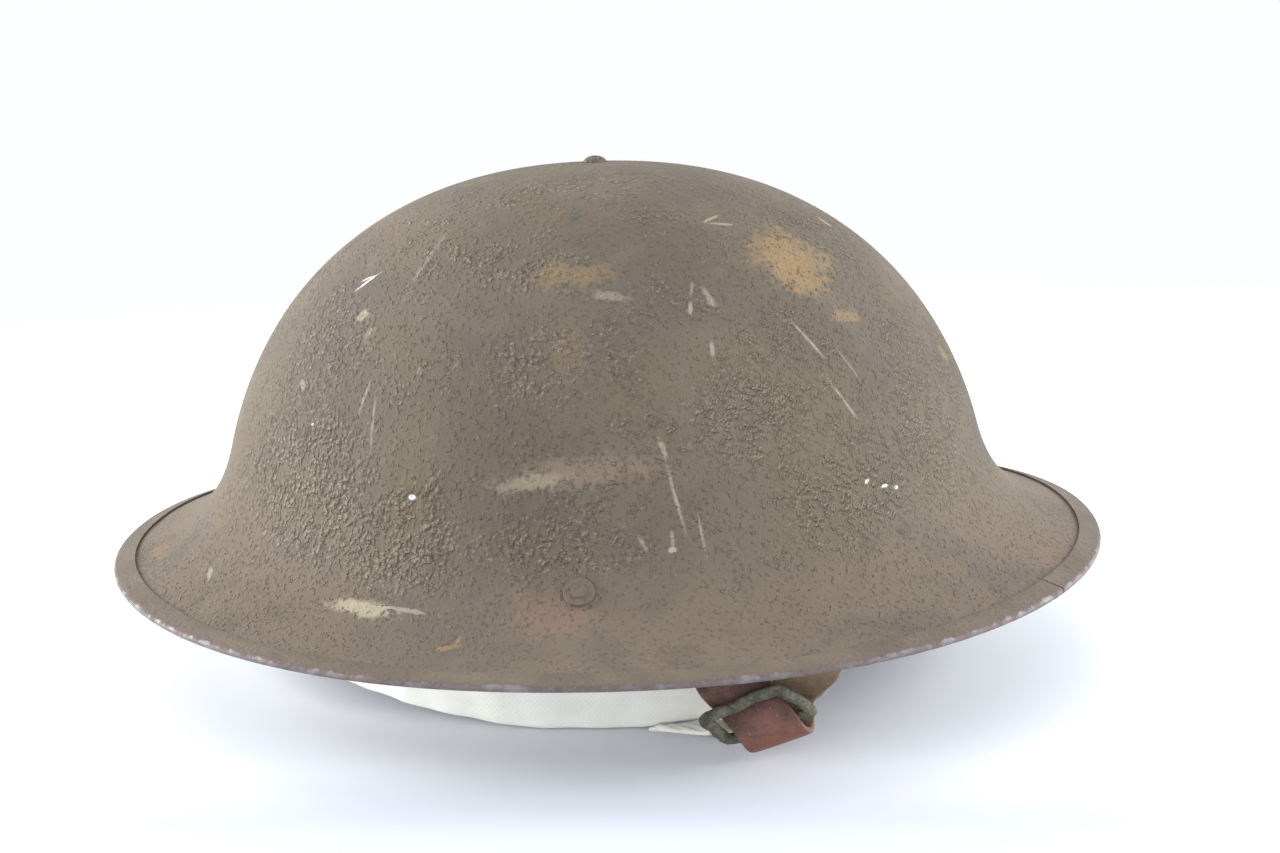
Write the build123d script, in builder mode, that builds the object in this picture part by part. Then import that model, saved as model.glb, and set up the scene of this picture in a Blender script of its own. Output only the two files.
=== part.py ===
from build123d import *
from math import acos, asin, cos, degrees, pi, radians, sin
import os

# A pressed steel trench helmet standing on its liner, in millimetres.
# The front of the brim points along +X, the near side is -Y, and the floor is z = 0.

# Shell
helmet_length = 310.0
helmet_width = 290.0
crown_height = 115.7  # crown above the brim's front and back tips
side_droop = 7.2  # how much lower the brim hangs at the sides
stand_height = 36.5  # brim's tips above the floor
bowl_length = 245.2
bowl_width = 216.0
bowl_sink = 8.0  # the bowl's curve would stand upright this far below the brim's tips
steel = 0.9
dome_power = 2.26
bowl_power = 2.08
liner_power = 2.0
rim_power = 2.15
flare_start_share = 0.32
flare_drop_share = 0.63
flare_run_share = 0.60
brim_slope = 14.0
loft_step = 15.0
strip_step = 10.0

# Folded strip over the brim's edge
strip_steel = 0.55
strip_leg = 6.0
strip_fit = 0.15
strip_gap = 0.6  # width of the butt joint
strip_joint = -31.5  # its place round the brim, in degrees from the front

# Crown rivet and what hangs from it
crown_hole = 5.0
crown_shank = 4.6
crown_head = 7.8
crown_head_rise = 1.9
washer_diameter = 14.0
washer_thick = 1.0
pad_diameter = 56.0
pad_thick = 4.0
hanger_width = 16.0
hanger_thick = 1.3
hanger_stand = 1.1  # gap between the hoop and a hanger's end
seat_gap = 0.25  # running gap between layers that lie on each other

# Liner
hoop_height = 24.0
hoop_thick = 1.6
hoop_sink = 4.0  # hoop's top edge below the start of the flare
spacer_diameter = 7.0
spacer_bore = 4.6
spacer_length = 13.0
spacer_count = 12
spacer_pin = 1.8
spacer_pin_head = 2.8
small_head_rise = 0.6
headband_thick = 1.4
headband_height = 30.0
tongue_thick = 1.1
tongue_rise = 66.0
tongue_count = 8
tongue_slit = 5.0
lace_hole_share = 0.42  # the tongues' round hole as a share of the liner's width
lace_diameter = 2.4
net_thick = 1.0
net_pitch = 8.0
net_cord = 1.6
wadding_thick = 8.0
wadding_swell = 1.2  # how far the padding stands out past the hoop
wadding_lift = 11.0  # how far its lower edge rises towards the front and back
wadding_flat = 23.0  # half length of the part of that edge that stands on the floor
flap_thick = 2.4
flap_width = 7.0
flap_length = 24.0
flap_turn = -72.0

# Lugs and wire loops of the chinstrap
bail_rivet_share = 0.42  # place of the rivet down the flare
lug_turn = 72.0  # how far the lugs have turned on their rivets towards the front
lug_width = 11.0
lug_steel = 1.0
lug_reach = 8.0
lug_tail = 7.0
lug_gap = 0.6
lug_stand = 2.3  # how far the lug's curl stands in from its plate
bail_wire = 2.6
bail_fit = 0.25
bail_half_width = 12.0
bail_drop = 15.0
bail_corner = 3.6
bail_rivet_hole = 4.4
bail_rivet_shank = 4.0
bail_rivet_head = 8.5
bail_rivet_core = 4.2
bail_head_rise = 0.9
bail_head_gap = 0.4

# Leather strap and its buckle
strap_width = 17.0
strap_thick = 2.1
strap_steps = 3
strap_ease = 0.4  # how much narrower a strap is past its riveted end
eye_bore = 3.7
eye_length = 14.0
eye_pin = 2.2
eye_pin_head = 5.0
roll_radius = 4.05  # from the buckle's bar to the middle of the leather
roll_start = 20.0
roll_shift = 0.8  # how far the strap comes in off the middle of the bar
roll_slip = 4.2  # how far it slides along the bar as it goes round
roll_end = -190.0
buckle_wire = 2.8

# The buckle's four corners, and the strap's places where it isn't rolled, as x, y, z
buckle_corners = [(31.8, -122.5, 12.7), (52.0, -122.5, 21.0), (61.4, -117.5, 12.7), (39.0, -117.5, 4.9)]
strap_down = [((36.8, -115.6, 25.4), (0.62, 0.30, 0.72)), ((42.3, -118.2, 16.7), (0.90, 0.05, 0.43))]
strap_up = [((56.3, -111.7, 14.8), (0.97, 0.0, 0.20)), ((59.6, -110.6, 20.3), (0.99, 0.05, -0.08)),
            ((61.8, -108.8, 25.6), (0.98, 0.10, -0.16))]
far_out = [((39.0, -115.4, 24.5), (0.46, 0.20, 0.86)), ((50.0, -112.6, 18.5), (0.24, 0.05, 0.97)),
           ((62.0, -106.5, 15.0), (0.08, 0.0, 1.0)), ((72.0, -99.5, 13.3), (0.02, 0.0, 1.0))]
far_back = [((75.0, -105.0, 12.6), (0.0, 0.0, 1.0)), ((62.0, -114.0, 12.6), (0.02, 0.0, 1.0)),
            ((48.0, -120.5, 13.2), (0.04, 0.0, 1.0))]
far_fold_place = (79.5, -96.6, 12.8)
far_fold_turn = 38.0
far_fold_radius = 3.2

# Worked out
overrun = 5 * steel
bowl_rise = crown_height + bowl_sink
crown_level = stand_height + crown_height
strip_wall = strip_fit + strip_steel
strip_nose = steel / 2 + strip_wall
foot_lean = acos(flare_start_share ** (dome_power / 2))
foot_share = sin(foot_lean) ** (2 / dome_power)
flare_level = stand_height - bowl_sink + bowl_rise * flare_start_share


def oval_reach(turn, half_length, half_width, power):
    """Distance from the upright axis to a rounded oval, at a turn in radians."""
    return (abs(cos(turn) / half_length) ** power + abs(sin(turn) / half_width) ** power) ** (-1 / power)


def meridian_plane(turn):
    """Upright plane through the axis: its x runs outwards and its y upwards."""
    return Plane((0, 0, 0), x_dir=(cos(turn), sin(turn), 0), z_dir=(sin(turn), -cos(turn), 0))


def dome_skin(half, top, rise, lean, depth=0.0):
    """Point on a dome at a lean from its crown, at a depth under its surface, and the way out there."""
    across = sin(lean) ** (2 / dome_power)
    up = cos(lean) ** (2 / dome_power)
    out = Vector(across ** (dome_power - 1) / half, up ** (dome_power - 1) / rise).normalized()
    return Vector(half * across, top - rise + rise * up) - out * depth, out


def bowl_skin(turn, lean, depth=0.0):
    """Point and way out on the steel bowl."""
    half = oval_reach(turn, bowl_length / 2, bowl_width / 2, bowl_power)
    return dome_skin(half, crown_level, bowl_rise, lean, depth)


def cubic(start, first, second, end, along):
    """Point and way along a cubic curve drawn by its two ends and the two corners between."""
    left = 1 - along
    point = (start * left**3 + first * (3 * left**2 * along)
             + second * (3 * left * along**2) + end * along**3)
    way = ((first - start) * left**2 + (second - first) * (2 * left * along)
           + (end - second) * along**2).normalized()
    return point, way


def flare_skin(turn, along, depth=0.0):
    """Point and way out on the flare and brim, a cubic curve from the bowl to the brim's edge."""
    start, out = bowl_skin(turn, foot_lean)
    reach = oval_reach(turn, helmet_length / 2 - strip_nose, helmet_width / 2 - strip_nose, rim_power)
    end = Vector(reach, stand_height - side_droop * (reach * sin(turn) / (helmet_width / 2)) ** 2)
    first = start + Vector(out.Y, -out.X) * (flare_drop_share * (start.Y - end.Y))
    slope = Vector(cos(radians(brim_slope)), -sin(radians(brim_slope)))
    second = end - slope * (flare_run_share * (end.X - start.X))
    point, way = cubic(start, first, second, end, along)
    out = Vector(-way.Y, way.X)
    return point - out * depth, out


def crown_lean(half, hole):
    """Lean at which a dome meets a round hole at its crown."""
    return asin((hole / 2 / half) ** (dome_power / 2))


def shell_line(turn, depth):
    """Points of the shell's outer or inner face in one meridian plane, from crown to edge."""
    half = oval_reach(turn, bowl_length / 2, bowl_width / 2, bowl_power)
    first = crown_lean(half, crown_hole)
    leans = [first + (foot_lean - first) * step / 9 for step in range(10)]
    bowl = [bowl_skin(turn, lean, depth)[0] for lean in leans]
    return bowl + [flare_skin(turn, step / 8, depth)[0] for step in range(1, 9)]


def half_turns():
    """Turns of the meridian planes of the front half, in radians."""
    count = round(180 / loft_step)
    return [radians(-90 + 180 * step / count) for step in range(count + 1)]


def tongue_shell(half_length, half_width, top, rise, thick, start):
    """A thin dome from its foot up to the lean where its hole starts, lofted through meridian planes."""
    with BuildPart() as dome:
        for turn in half_turns():
            half = oval_reach(turn, half_length, half_width, liner_power)
            leans = [start + (pi / 2 - start) * step / 6 for step in range(7)]
            with BuildSketch(meridian_plane(turn)):
                with BuildLine():
                    outer = Spline(*[dome_skin(half, top, rise, lean)[0] for lean in leans])
                    inner = Spline(*[dome_skin(half, top, rise, lean, thick)[0] for lean in leans])
                    Line(outer @ 0, inner @ 0)
                    Line(outer @ 1, inner @ 1)
                make_face()
        loft()
        mirror(about=Plane.YZ)
    return dome.part


def hanger_side(half, top, rise):
    """Side view of a leather band that follows the bowl from hoop to hoop."""
    outer_points = []
    inner_points = []
    for step in range(-8, 9):
        lean = pi / 2 * abs(step) / 8
        side = 1 if step >= 0 else -1
        outer_point = dome_skin(half, top, rise, lean)[0]
        inner_point = dome_skin(half, top, rise, lean, hanger_thick)[0]
        outer_points.append((side * outer_point.X, outer_point.Y))
        inner_points.append((side * inner_point.X, inner_point.Y))
    with BuildSketch() as view:
        with BuildLine():
            outer = Spline(*outer_points)
            inner = Spline(*inner_points)
            Line(outer @ 0, inner @ 0)
            Line(outer @ 1, inner @ 1)
        make_face()
    return view.sketch


def eased(places):
    """The same places with more between them, on cubics that follow the strap at both ends."""
    closer = []
    for (centre, across, along), (next_centre, next_across, next_along) in zip(places, places[1:]):
        reach = (next_centre - centre).length / 3
        corners_between = (centre + along.normalized() * reach, next_centre - next_along.normalized() * reach)
        for step in range(strap_steps):
            share = step / strap_steps
            point, way = cubic(centre, *corners_between, next_centre, share)
            closer.append((point, across * (1 - share) + next_across * share, way))
    return closer + [places[-1]]


def ribbon(places):
    """A flat strap lofted through places, each a centre, the way across and the way along."""
    with BuildPart() as strip:
        for centre, across, along in eased(places):
            square = along - across * (along.dot(across) / across.dot(across))
            with BuildSketch(Plane(centre, x_dir=across, z_dir=square)):
                Rectangle(strap_width - strap_ease, strap_thick)
        loft(ruled=True)
    return strip.part


def fold(centre, out, along, radius):
    """Places round a half turn of a strap about an upright axis."""
    places = []
    for step in range(5):
        turned = pi * step / 4
        place = centre - out * (radius * cos(turned)) + along * (radius * sin(turned))
        places.append((place, Vector(0, 0, 1), along * cos(turned) + out * sin(turned)))
    return places


def run(places, start, end):
    """Gives each place of a strap's run its way along, from its neighbours on both sides."""
    centres = [start[0]] + [Vector(*centre) for centre, _ in places] + ([end[0]] if end else [])
    acrosses = [start[1]] + [Vector(*across) for _, across in places] + ([end[1]] if end else [])
    alongs = [start[2]]
    for here in range(1, len(centres)):
        before = centres[here] - centres[here - 1]
        after = centres[here + 1] - centres[here] if here + 1 < len(centres) else before
        alongs.append(before.normalized() + after.normalized())
    if end:
        alongs[-1] = end[2]
    return list(zip(centres, acrosses, alongs))


# Shell
with BuildPart() as shell:
    for turn in half_turns():
        with BuildSketch(meridian_plane(turn)):
            with BuildLine():
                face_line = Spline(*shell_line(turn, 0.0))
                back_line = Spline(*shell_line(turn, steel))
                Line(face_line @ 0, back_line @ 0)
                Line(face_line @ 1, back_line @ 1)
            make_face()
    loft()
    mirror(about=Plane.YZ)

# Places of the chinstrap's lug, loop and strap on the near side
side_turn = -pi / 2
lug_point, lug_out = flare_skin(side_turn, bail_rivet_share)
lug_back = flare_skin(side_turn, bail_rivet_share, steel)[0]
rivet_point = Vector(0, -lug_point.X, lug_point.Y)
rivet_back = Vector(0, -lug_back.X, lug_back.Y)
rivet_out = Vector(0, -lug_out.X, lug_out.Y)
upslope = Vector(0, lug_out.Y, lug_out.X)
lug_across = Vector(cos(radians(lug_turn)), 0, 0) + upslope * sin(radians(lug_turn))
lug_down = lug_across.cross(rivet_out)
curl_radius = bail_wire / 2 + bail_fit + lug_steel
curl_sink = lug_gap + lug_stand + curl_radius
bail_pivot = rivet_back + lug_down * lug_reach - rivet_out * curl_sink
bail_down = Vector(lug_across.Z, 0, -lug_across.X).normalized()
strap_out = bail_down.cross(lug_across)
strap_pivot = bail_pivot + bail_down * bail_drop
rivet_plane = Plane(rivet_point, x_dir=lug_across, z_dir=rivet_out)
lug_side = Plane(rivet_back, x_dir=lug_down, z_dir=-lug_across)

with BuildPart() as rivet_bores:
    with BuildSketch(rivet_plane):
        Circle(bail_rivet_hole / 2)
    extrude(amount=overrun, both=True)
    mirror(about=Plane.XZ)

with BuildPart() as drilled_shell:
    add(shell.part)
    add(rivet_bores.part, mode=Mode.SUBTRACT)

# Folded strip round the brim, one U section carried from one side of the joint to the other
joint_reach = oval_reach(radians(strip_joint), helmet_length / 2, helmet_width / 2, rim_power)
joint_turn = degrees(strip_gap / 2 / joint_reach)
strip_count = round(360 / strip_step)
with BuildPart() as rim_strip:
    for step in range(strip_count + 1):
        turn = radians(strip_joint + joint_turn + (360 - 2 * joint_turn) * step / strip_count)
        brim_run = (flare_skin(turn, 1)[0] - flare_skin(turn, 0)[0]).X
        leg_start = 1 - strip_leg / (3 * flare_run_share * brim_run)
        alongs = [leg_start, (leg_start + 1) / 2, 1]
        edge, edge_out = flare_skin(turn, 1, steel / 2)
        nose = edge + Vector(edge_out.Y, -edge_out.X) * strip_nose
        with BuildSketch(meridian_plane(turn)):
            with BuildLine():
                top_face = Spline(*[flare_skin(turn, along, -strip_wall)[0] for along in alongs])
                low_face = Spline(*[flare_skin(turn, along, steel + strip_wall)[0] for along in alongs])
                top_back = Spline(*[flare_skin(turn, along, -strip_fit)[0] for along in alongs])
                low_back = Spline(*[flare_skin(turn, along, steel + strip_fit)[0] for along in alongs])
                ThreePointArc(top_face @ 1, nose, low_face @ 1)
                Line(top_face @ 0, top_back @ 0)
                Line(low_face @ 0, low_back @ 0)
                bend = edge + Vector(edge_out.Y, -edge_out.X) * (strip_nose - strip_steel)
                ThreePointArc(top_back @ 1, bend, low_back @ 1)
            make_face()
    loft()

# Crown: pad, hangers, washer and rivet, each seated under the one before
crown_under = crown_level - steel
pad_lean = crown_lean(bowl_width / 2, pad_diameter)
pad_leans = [pad_lean * step / 4 for step in range(5)]
pad_top = [dome_skin(bowl_width / 2, crown_level, bowl_rise, lean, steel + seat_gap)[0] for lean in pad_leans]
pad_base = pad_top[-1].Y - pad_thick / 2
with BuildPart() as crown_pad:
    with BuildSketch(Plane.XZ):
        with BuildLine():
            pad_line = Spline(*pad_top)
            Polyline(pad_line @ 1, (pad_top[-1].X, pad_base), (0, pad_base), pad_line @ 0)
        make_face()
    revolve(axis=Axis.Z)
    with BuildSketch(Plane.XY.offset(crown_level)):
        Circle(crown_hole / 2)
    extrude(amount=-crown_level, mode=Mode.SUBTRACT)

wall_length = bowl_length / 2 * foot_share - steel
wall_width = bowl_width / 2 * foot_share - steel
hoop_length = wall_length - spacer_diameter - 2 * seat_gap
hoop_width = wall_width - spacer_diameter - 2 * seat_gap
hoop_top = flare_level - hoop_sink
hoop_base = hoop_top - hoop_height
long_top = pad_base - seat_gap
cross_top = long_top - hanger_thick - seat_gap
hanger_foot = hoop_base + hoop_height / 2
long_half = hoop_length + hanger_stand + hanger_thick
cross_half = hoop_width + hanger_stand + hanger_thick
with BuildPart() as hanger_strap_long:
    with BuildSketch(Plane.XZ):
        add(hanger_side(long_half, long_top, long_top - hanger_foot))
    extrude(amount=hanger_width / 2, both=True)
    with BuildSketch(Plane.XY.offset(crown_level)):
        Circle(crown_hole / 2)
    extrude(amount=-bowl_rise / 2, mode=Mode.SUBTRACT)
with BuildPart() as hanger_strap_cross:
    with BuildSketch(Plane.YZ):
        add(hanger_side(cross_half, cross_top, cross_top - hanger_foot))
    extrude(amount=hanger_width / 2, both=True)
    with BuildSketch(Plane.XY.offset(crown_level)):
        Circle(crown_hole / 2)
    extrude(amount=-bowl_rise / 2, mode=Mode.SUBTRACT)

washer_top = cross_top - hanger_thick - seat_gap
washer_base = washer_top - washer_thick
with BuildPart() as crown_washer:
    with BuildSketch(Plane.XY.offset(washer_base)):
        Circle(washer_diameter / 2)
        Circle(crown_hole / 2, mode=Mode.SUBTRACT)
    extrude(amount=washer_thick)

head_seat = crown_level + seat_gap / 5
clench_top = washer_base - seat_gap / 5
with BuildPart() as crown_rivet:
    with BuildSketch(Plane.XZ):
        with BuildLine():
            dome_line = ThreePointArc((0, head_seat + crown_head_rise),
                                      (crown_head * 0.31, head_seat + crown_head_rise * 0.72),
                                      (crown_head / 2, head_seat))
            Polyline(dome_line @ 1, (crown_shank / 2, head_seat), (crown_shank / 2, clench_top),
                     (crown_head / 2, clench_top), (crown_head / 2, clench_top - washer_thick),
                     (0, clench_top - washer_thick), dome_line @ 0)
        make_face()
    revolve(axis=Axis.Z)

# Liner hoop, its spacers and their pins
with BuildPart() as liner_hoop:
    with BuildSketch(Plane.XY.offset(hoop_base)):
        Ellipse(hoop_length, hoop_width)
        Ellipse(hoop_length - hoop_thick, hoop_width - hoop_thick, mode=Mode.SUBTRACT)
    extrude(amount=hoop_height)

spacer_base = hoop_top - spacer_length
spacer_mid = spacer_base + spacer_length / 2
spacer_step = 2 * pi / spacer_count
spacer_turns = [spacer_step * (number + 0.5) for number in range(spacer_count)]
spacer_far = seat_gap + spacer_diameter / 2


def oval_place(turn, half_length, half_width, reach):
    """Point at a reach outside an ellipse, and the way out there."""
    out = Vector(cos(turn) / half_length, sin(turn) / half_width).normalized()
    return Vector(half_length * cos(turn), half_width * sin(turn)) + out * reach, out


with BuildPart() as rubber_spacers:
    with BuildSketch(Plane.XY.offset(spacer_base)):
        with Locations(*[oval_place(turn, hoop_length, hoop_width, spacer_far)[0] for turn in spacer_turns]):
            Circle(spacer_diameter / 2)
            Circle(spacer_bore / 2, mode=Mode.SUBTRACT)
    extrude(amount=spacer_length)
    for turn in spacer_turns:
        place, out = oval_place(turn, hoop_length, hoop_width, spacer_far)
        with BuildSketch(Plane((place.X, place.Y, spacer_mid), z_dir=-out)):
            Circle(spacer_pin / 2 + seat_gap)
        extrude(amount=spacer_diameter, mode=Mode.SUBTRACT)

spacer_wall = (spacer_diameter - spacer_bore) / 2
bore_bulge = (spacer_bore - (spacer_bore**2 - spacer_pin_head**2) ** 0.5) / 2
pin_length = hoop_thick + 2 * seat_gap + spacer_wall + bore_bulge
with BuildPart() as pin_bores:
    for turn in spacer_turns:
        place, out = oval_place(turn, hoop_length, hoop_width, overrun)
        with BuildSketch(Plane((place.X, place.Y, spacer_mid), z_dir=-out)):
            Circle(spacer_pin / 2 + seat_gap)
        extrude(amount=2 * overrun)

with BuildPart() as spacer_rivets:
    for turn in spacer_turns:
        place, out = oval_place(turn, hoop_length, hoop_width, -hoop_thick - seat_gap)
        head_plane = Plane((place.X, place.Y, spacer_mid), z_dir=out)
        with BuildSketch(head_plane):
            Circle(spacer_pin / 2)
        extrude(amount=pin_length)
        with BuildSketch(head_plane):
            Circle(spacer_pin_head / 2)
        extrude(amount=-small_head_rise)
        with BuildSketch(head_plane.offset(pin_length)):
            Circle(spacer_pin_head / 2)
        extrude(amount=small_head_rise)

# Rivets through the hangers' ends and the hoop
hanger_level = hanger_foot + hoop_height / 6
hanger_turns = [0, pi / 2, pi, 3 * pi / 2]
with BuildPart() as hanger_bores:
    for turn in hanger_turns:
        place, out = oval_place(turn, hoop_length, hoop_width, overrun)
        with BuildSketch(Plane((place.X, place.Y, hanger_level), z_dir=-out)):
            Circle(spacer_pin / 2 + seat_gap)
        extrude(amount=2 * overrun)
hanger_stack = hoop_thick + hanger_stand + hanger_thick + 3 * seat_gap
with BuildPart() as hanger_rivets:
    for turn in hanger_turns:
        place, out = oval_place(turn, hoop_length, hoop_width, -hoop_thick - seat_gap)
        head_plane = Plane((place.X, place.Y, hanger_level), z_dir=out)
        with BuildSketch(head_plane):
            Circle(spacer_pin / 2)
        extrude(amount=hanger_stack)
        with BuildSketch(head_plane):
            Circle(spacer_pin_head / 2)
        extrude(amount=-small_head_rise)
        with BuildSketch(head_plane.offset(hanger_stack)):
            Circle(spacer_pin_head / 2)
        extrude(amount=small_head_rise)

with BuildPart() as drilled_hoop:
    add(liner_hoop.part)
    add(pin_bores.part, mode=Mode.SUBTRACT)
    add(hanger_bores.part, mode=Mode.SUBTRACT)
with BuildPart() as drilled_long:
    add(hanger_strap_long.part)
    add(hanger_bores.part, mode=Mode.SUBTRACT)
with BuildPart() as drilled_cross:
    add(hanger_strap_cross.part)
    add(hanger_bores.part, mode=Mode.SUBTRACT)

# Sweatband, clear of the rivet heads on the hoop's inner face
band_fit = seat_gap + small_head_rise + seat_gap
band_length = hoop_length - hoop_thick - band_fit
band_width = hoop_width - hoop_thick - band_fit
with BuildPart() as headband:
    with BuildSketch(Plane.XY.offset(hoop_top - headband_height)):
        Ellipse(band_length, band_width)
        Ellipse(band_length - headband_thick, band_width - headband_thick, mode=Mode.SUBTRACT)
    extrude(amount=headband_height)

# Tongues: a thin dome inside the sweatband, slit into tongues, with a hole for the head's crown
tongue_length = band_length - headband_thick - seat_gap
tongue_width = band_width - headband_thick - seat_gap
tongue_foot = hoop_top - hoop_height / 4
tongue_top = tongue_foot + tongue_rise
lace_lean = asin(lace_hole_share ** (dome_power / 2))
slit_reach = tongue_length * (1 + lace_hole_share) / 2
tongue_dome = tongue_shell(tongue_length, tongue_width, tongue_top, tongue_rise, tongue_thick, lace_lean)
with BuildPart() as liner_tongues:
    add(tongue_dome)
    slit_level = tongue_foot + tongue_rise / 3
    with BuildSketch(Plane.XY.offset(slit_level)):
        with PolarLocations(slit_reach, tongue_count, start_angle=180 / tongue_count):
            Rectangle(tongue_length, tongue_slit)
    extrude(amount=tongue_rise, mode=Mode.SUBTRACT)

# Net under the hole, and the lace over the tongues' tips
hole_edge, hole_out = dome_skin(tongue_length, tongue_top, tongue_rise, lace_lean)
lace_level = hole_edge.Y + lace_diameter / 2 + seat_gap
lace_length = tongue_length * lace_hole_share + lace_diameter
lace_width = tongue_width * lace_hole_share + lace_diameter
lace_turns = [2 * pi * step / 24 for step in range(24)]
lace_points = [(lace_length * cos(turn), lace_width * sin(turn), lace_level) for turn in lace_turns]
with BuildPart() as draw_lace:
    with BuildLine():
        lace_line = Spline(*lace_points, periodic=True)
    with BuildSketch(Plane(lace_line @ 0, z_dir=lace_line % 0)):
        Circle(lace_diameter / 2)
    sweep()

net_inset = net_cord + net_thick
net_length = tongue_length * lace_hole_share - net_inset / 2
net_width = tongue_width * lace_hole_share - net_inset / 2
net_top = hole_edge.Y - tongue_thick
net_reach_count = int(net_length / net_pitch) + 1
net_gaps = []
for column in range(-net_reach_count, net_reach_count + 1):
    for row in range(-net_reach_count, net_reach_count + 1):
        far_x = abs(column * net_pitch) + net_pitch / 2
        far_y = abs(row * net_pitch) + net_pitch / 2
        if (far_x / (net_length - net_cord)) ** 2 + (far_y / (net_width - net_cord)) ** 2 < 1:
            net_gaps.append((column * net_pitch, row * net_pitch))
with BuildPart() as crown_net:
    with BuildSketch(Plane.XY.offset(net_top - net_thick)):
        Ellipse(net_length, net_width)
        with Locations(*net_gaps):
            Rectangle(net_pitch - net_cord, net_pitch - net_cord, mode=Mode.SUBTRACT)
    extrude(amount=net_thick)

# Padding band under the hoop: its lower edge stands on the floor at the sides and rises to the ends
wadding_top = hoop_top - headband_height - seat_gap
wadding_length = hoop_length + wadding_swell
wadding_width = hoop_width + wadding_swell
with BuildPart() as wadding_band:
    with BuildSketch(Plane.XY):
        Ellipse(wadding_length, wadding_width)
        Ellipse(wadding_length - wadding_thick, wadding_width - wadding_thick, mode=Mode.SUBTRACT)
    extrude(amount=wadding_top)
    with BuildSketch(Plane.XZ):
        with BuildLine():
            Polyline((wadding_flat, 0), (wadding_length, wadding_lift), (wadding_length + overrun, wadding_lift),
                     (wadding_length + overrun, -overrun), (wadding_flat, -overrun), (wadding_flat, 0))
        make_face()
        mirror(about=Plane.YZ)
    extrude(amount=helmet_width / 2, both=True, mode=Mode.SUBTRACT)

flap_half = flap_length / wadding_width / 2
flap_reach = wadding_width + seat_gap
with BuildPart() as wadding_flap:
    with BuildSketch(Plane.XY):
        flap_places = [oval_place(radians(flap_turn) + flap_half * share, wadding_length, wadding_width, seat_gap)[0]
                       for share in (-1, 0, 1)]
        flap_far = [oval_place(radians(flap_turn) + flap_half * share, wadding_length, wadding_width,
                               seat_gap + flap_width)[0] for share in (-1, 0, 1)]
        with BuildLine():
            near_arc = ThreePointArc(*flap_places)
            far_arc = ThreePointArc(*flap_far)
            Line(near_arc @ 0, far_arc @ 0)
            Line(near_arc @ 1, far_arc @ 1)
        make_face()
    extrude(amount=flap_thick)

# Lug: a plate on the shell's inner face, turned in and then curled round the loop's upper bar
neck_place = lug_reach - curl_radius + lug_steel
with BuildPart() as near_bail_bracket:
    with BuildSketch(lug_side):
        with Locations((neck_place / 2 - lug_tail / 2, -lug_gap - lug_steel / 2)):
            Rectangle(neck_place + lug_tail, lug_steel)
        with Locations((neck_place - lug_steel / 2, -lug_gap / 2 - curl_sink / 2)):
            Rectangle(lug_steel, curl_sink - lug_gap)
        with Locations((lug_reach, -curl_sink)):
            Circle(curl_radius)
            Circle(curl_radius - lug_steel, mode=Mode.SUBTRACT)
    extrude(amount=lug_width / 2, both=True)
    add(rivet_bores.part, mode=Mode.SUBTRACT)

# Rivet of the lug: a flat head with a raised core outside, and a clenched head inside
inside_seat = steel + lug_gap + lug_steel + seat_gap / 5
with BuildPart() as near_bail_rivet:
    with BuildSketch(rivet_plane.offset(bail_head_gap)):
        Circle(bail_rivet_head / 2)
    extrude(amount=bail_head_rise, taper=20)
    with BuildSketch(rivet_plane.offset(bail_head_gap + bail_head_rise)):
        Circle(bail_rivet_core / 2)
    extrude(amount=bail_head_rise / 2, taper=20)
    with BuildSketch(rivet_plane.offset(-inside_seat)):
        Circle(bail_rivet_shank / 2)
    extrude(amount=inside_seat + bail_head_gap)
    with BuildSketch(rivet_plane.offset(-inside_seat)):
        Circle(bail_rivet_shank / 2 + lug_steel)
    extrude(amount=-bail_head_rise)

# Wire loop, hung in the lug
bail_plane = Plane(bail_pivot, x_dir=lug_across, z_dir=strap_out)
with BuildPart() as near_bail:
    with BuildLine(bail_plane) as bail_path:
        FilletPolyline((bail_half_width, 0), (bail_half_width, -bail_drop),
                       (-bail_half_width, -bail_drop), (-bail_half_width, 0), radius=bail_corner, close=True)
    with BuildSketch(Plane(bail_path.wires()[0] @ 0, z_dir=bail_path.wires()[0] % 0)):
        Circle(bail_wire / 2)
    sweep()

# Eye of a strap: both plies pressed together past the loop's lower bar
eye_side = Plane(strap_pivot, x_dir=bail_down, z_dir=lug_across)
eye_radius = eye_bore / 2 + strap_thick
pin_reach = eye_length - strap_thick - eye_pin_head / 2 - seat_gap
pin_plane = Plane(strap_pivot + bail_down * pin_reach, x_dir=lug_across, z_dir=strap_out)
eye_end = strap_pivot + bail_down * (eye_length - strap_thick)


with BuildPart() as strap_eye:
    with BuildSketch(eye_side):
        Circle(eye_radius)
        with Locations((eye_length / 2, 0)):
            Rectangle(eye_length, 2 * strap_thick)
        Circle(eye_bore / 2, mode=Mode.SUBTRACT)
    extrude(amount=strap_width / 2, both=True)
    with BuildSketch(pin_plane):
        Circle(eye_pin / 2 + seat_gap)
    extrude(amount=eye_radius, both=True, mode=Mode.SUBTRACT)


# Buckle: a bent wire frame through four corners
corners = [Vector(*corner) for corner in buckle_corners]
with BuildPart() as slide_buckle:
    for number, corner in enumerate(corners):
        following = corners[(number + 1) % len(corners)]
        with BuildSketch(Plane(corner, z_dir=following - corner)):
            Circle(buckle_wire / 2)
        extrude(amount=(following - corner).length)
        with Locations(corner):
            Sphere(buckle_wire / 2)

# The near strap: eye, run down behind the upper bar, roll round the lower bar, run up behind
bar_along = (corners[2] - corners[3]).normalized()
roll_centre = (corners[2] + corners[3]) * 0.5
roll_out = Vector(0, -1, 0)
roll_plane = Plane(roll_centre, x_dir=roll_out, z_dir=-bar_along)
roll_up = roll_plane.y_dir


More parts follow.
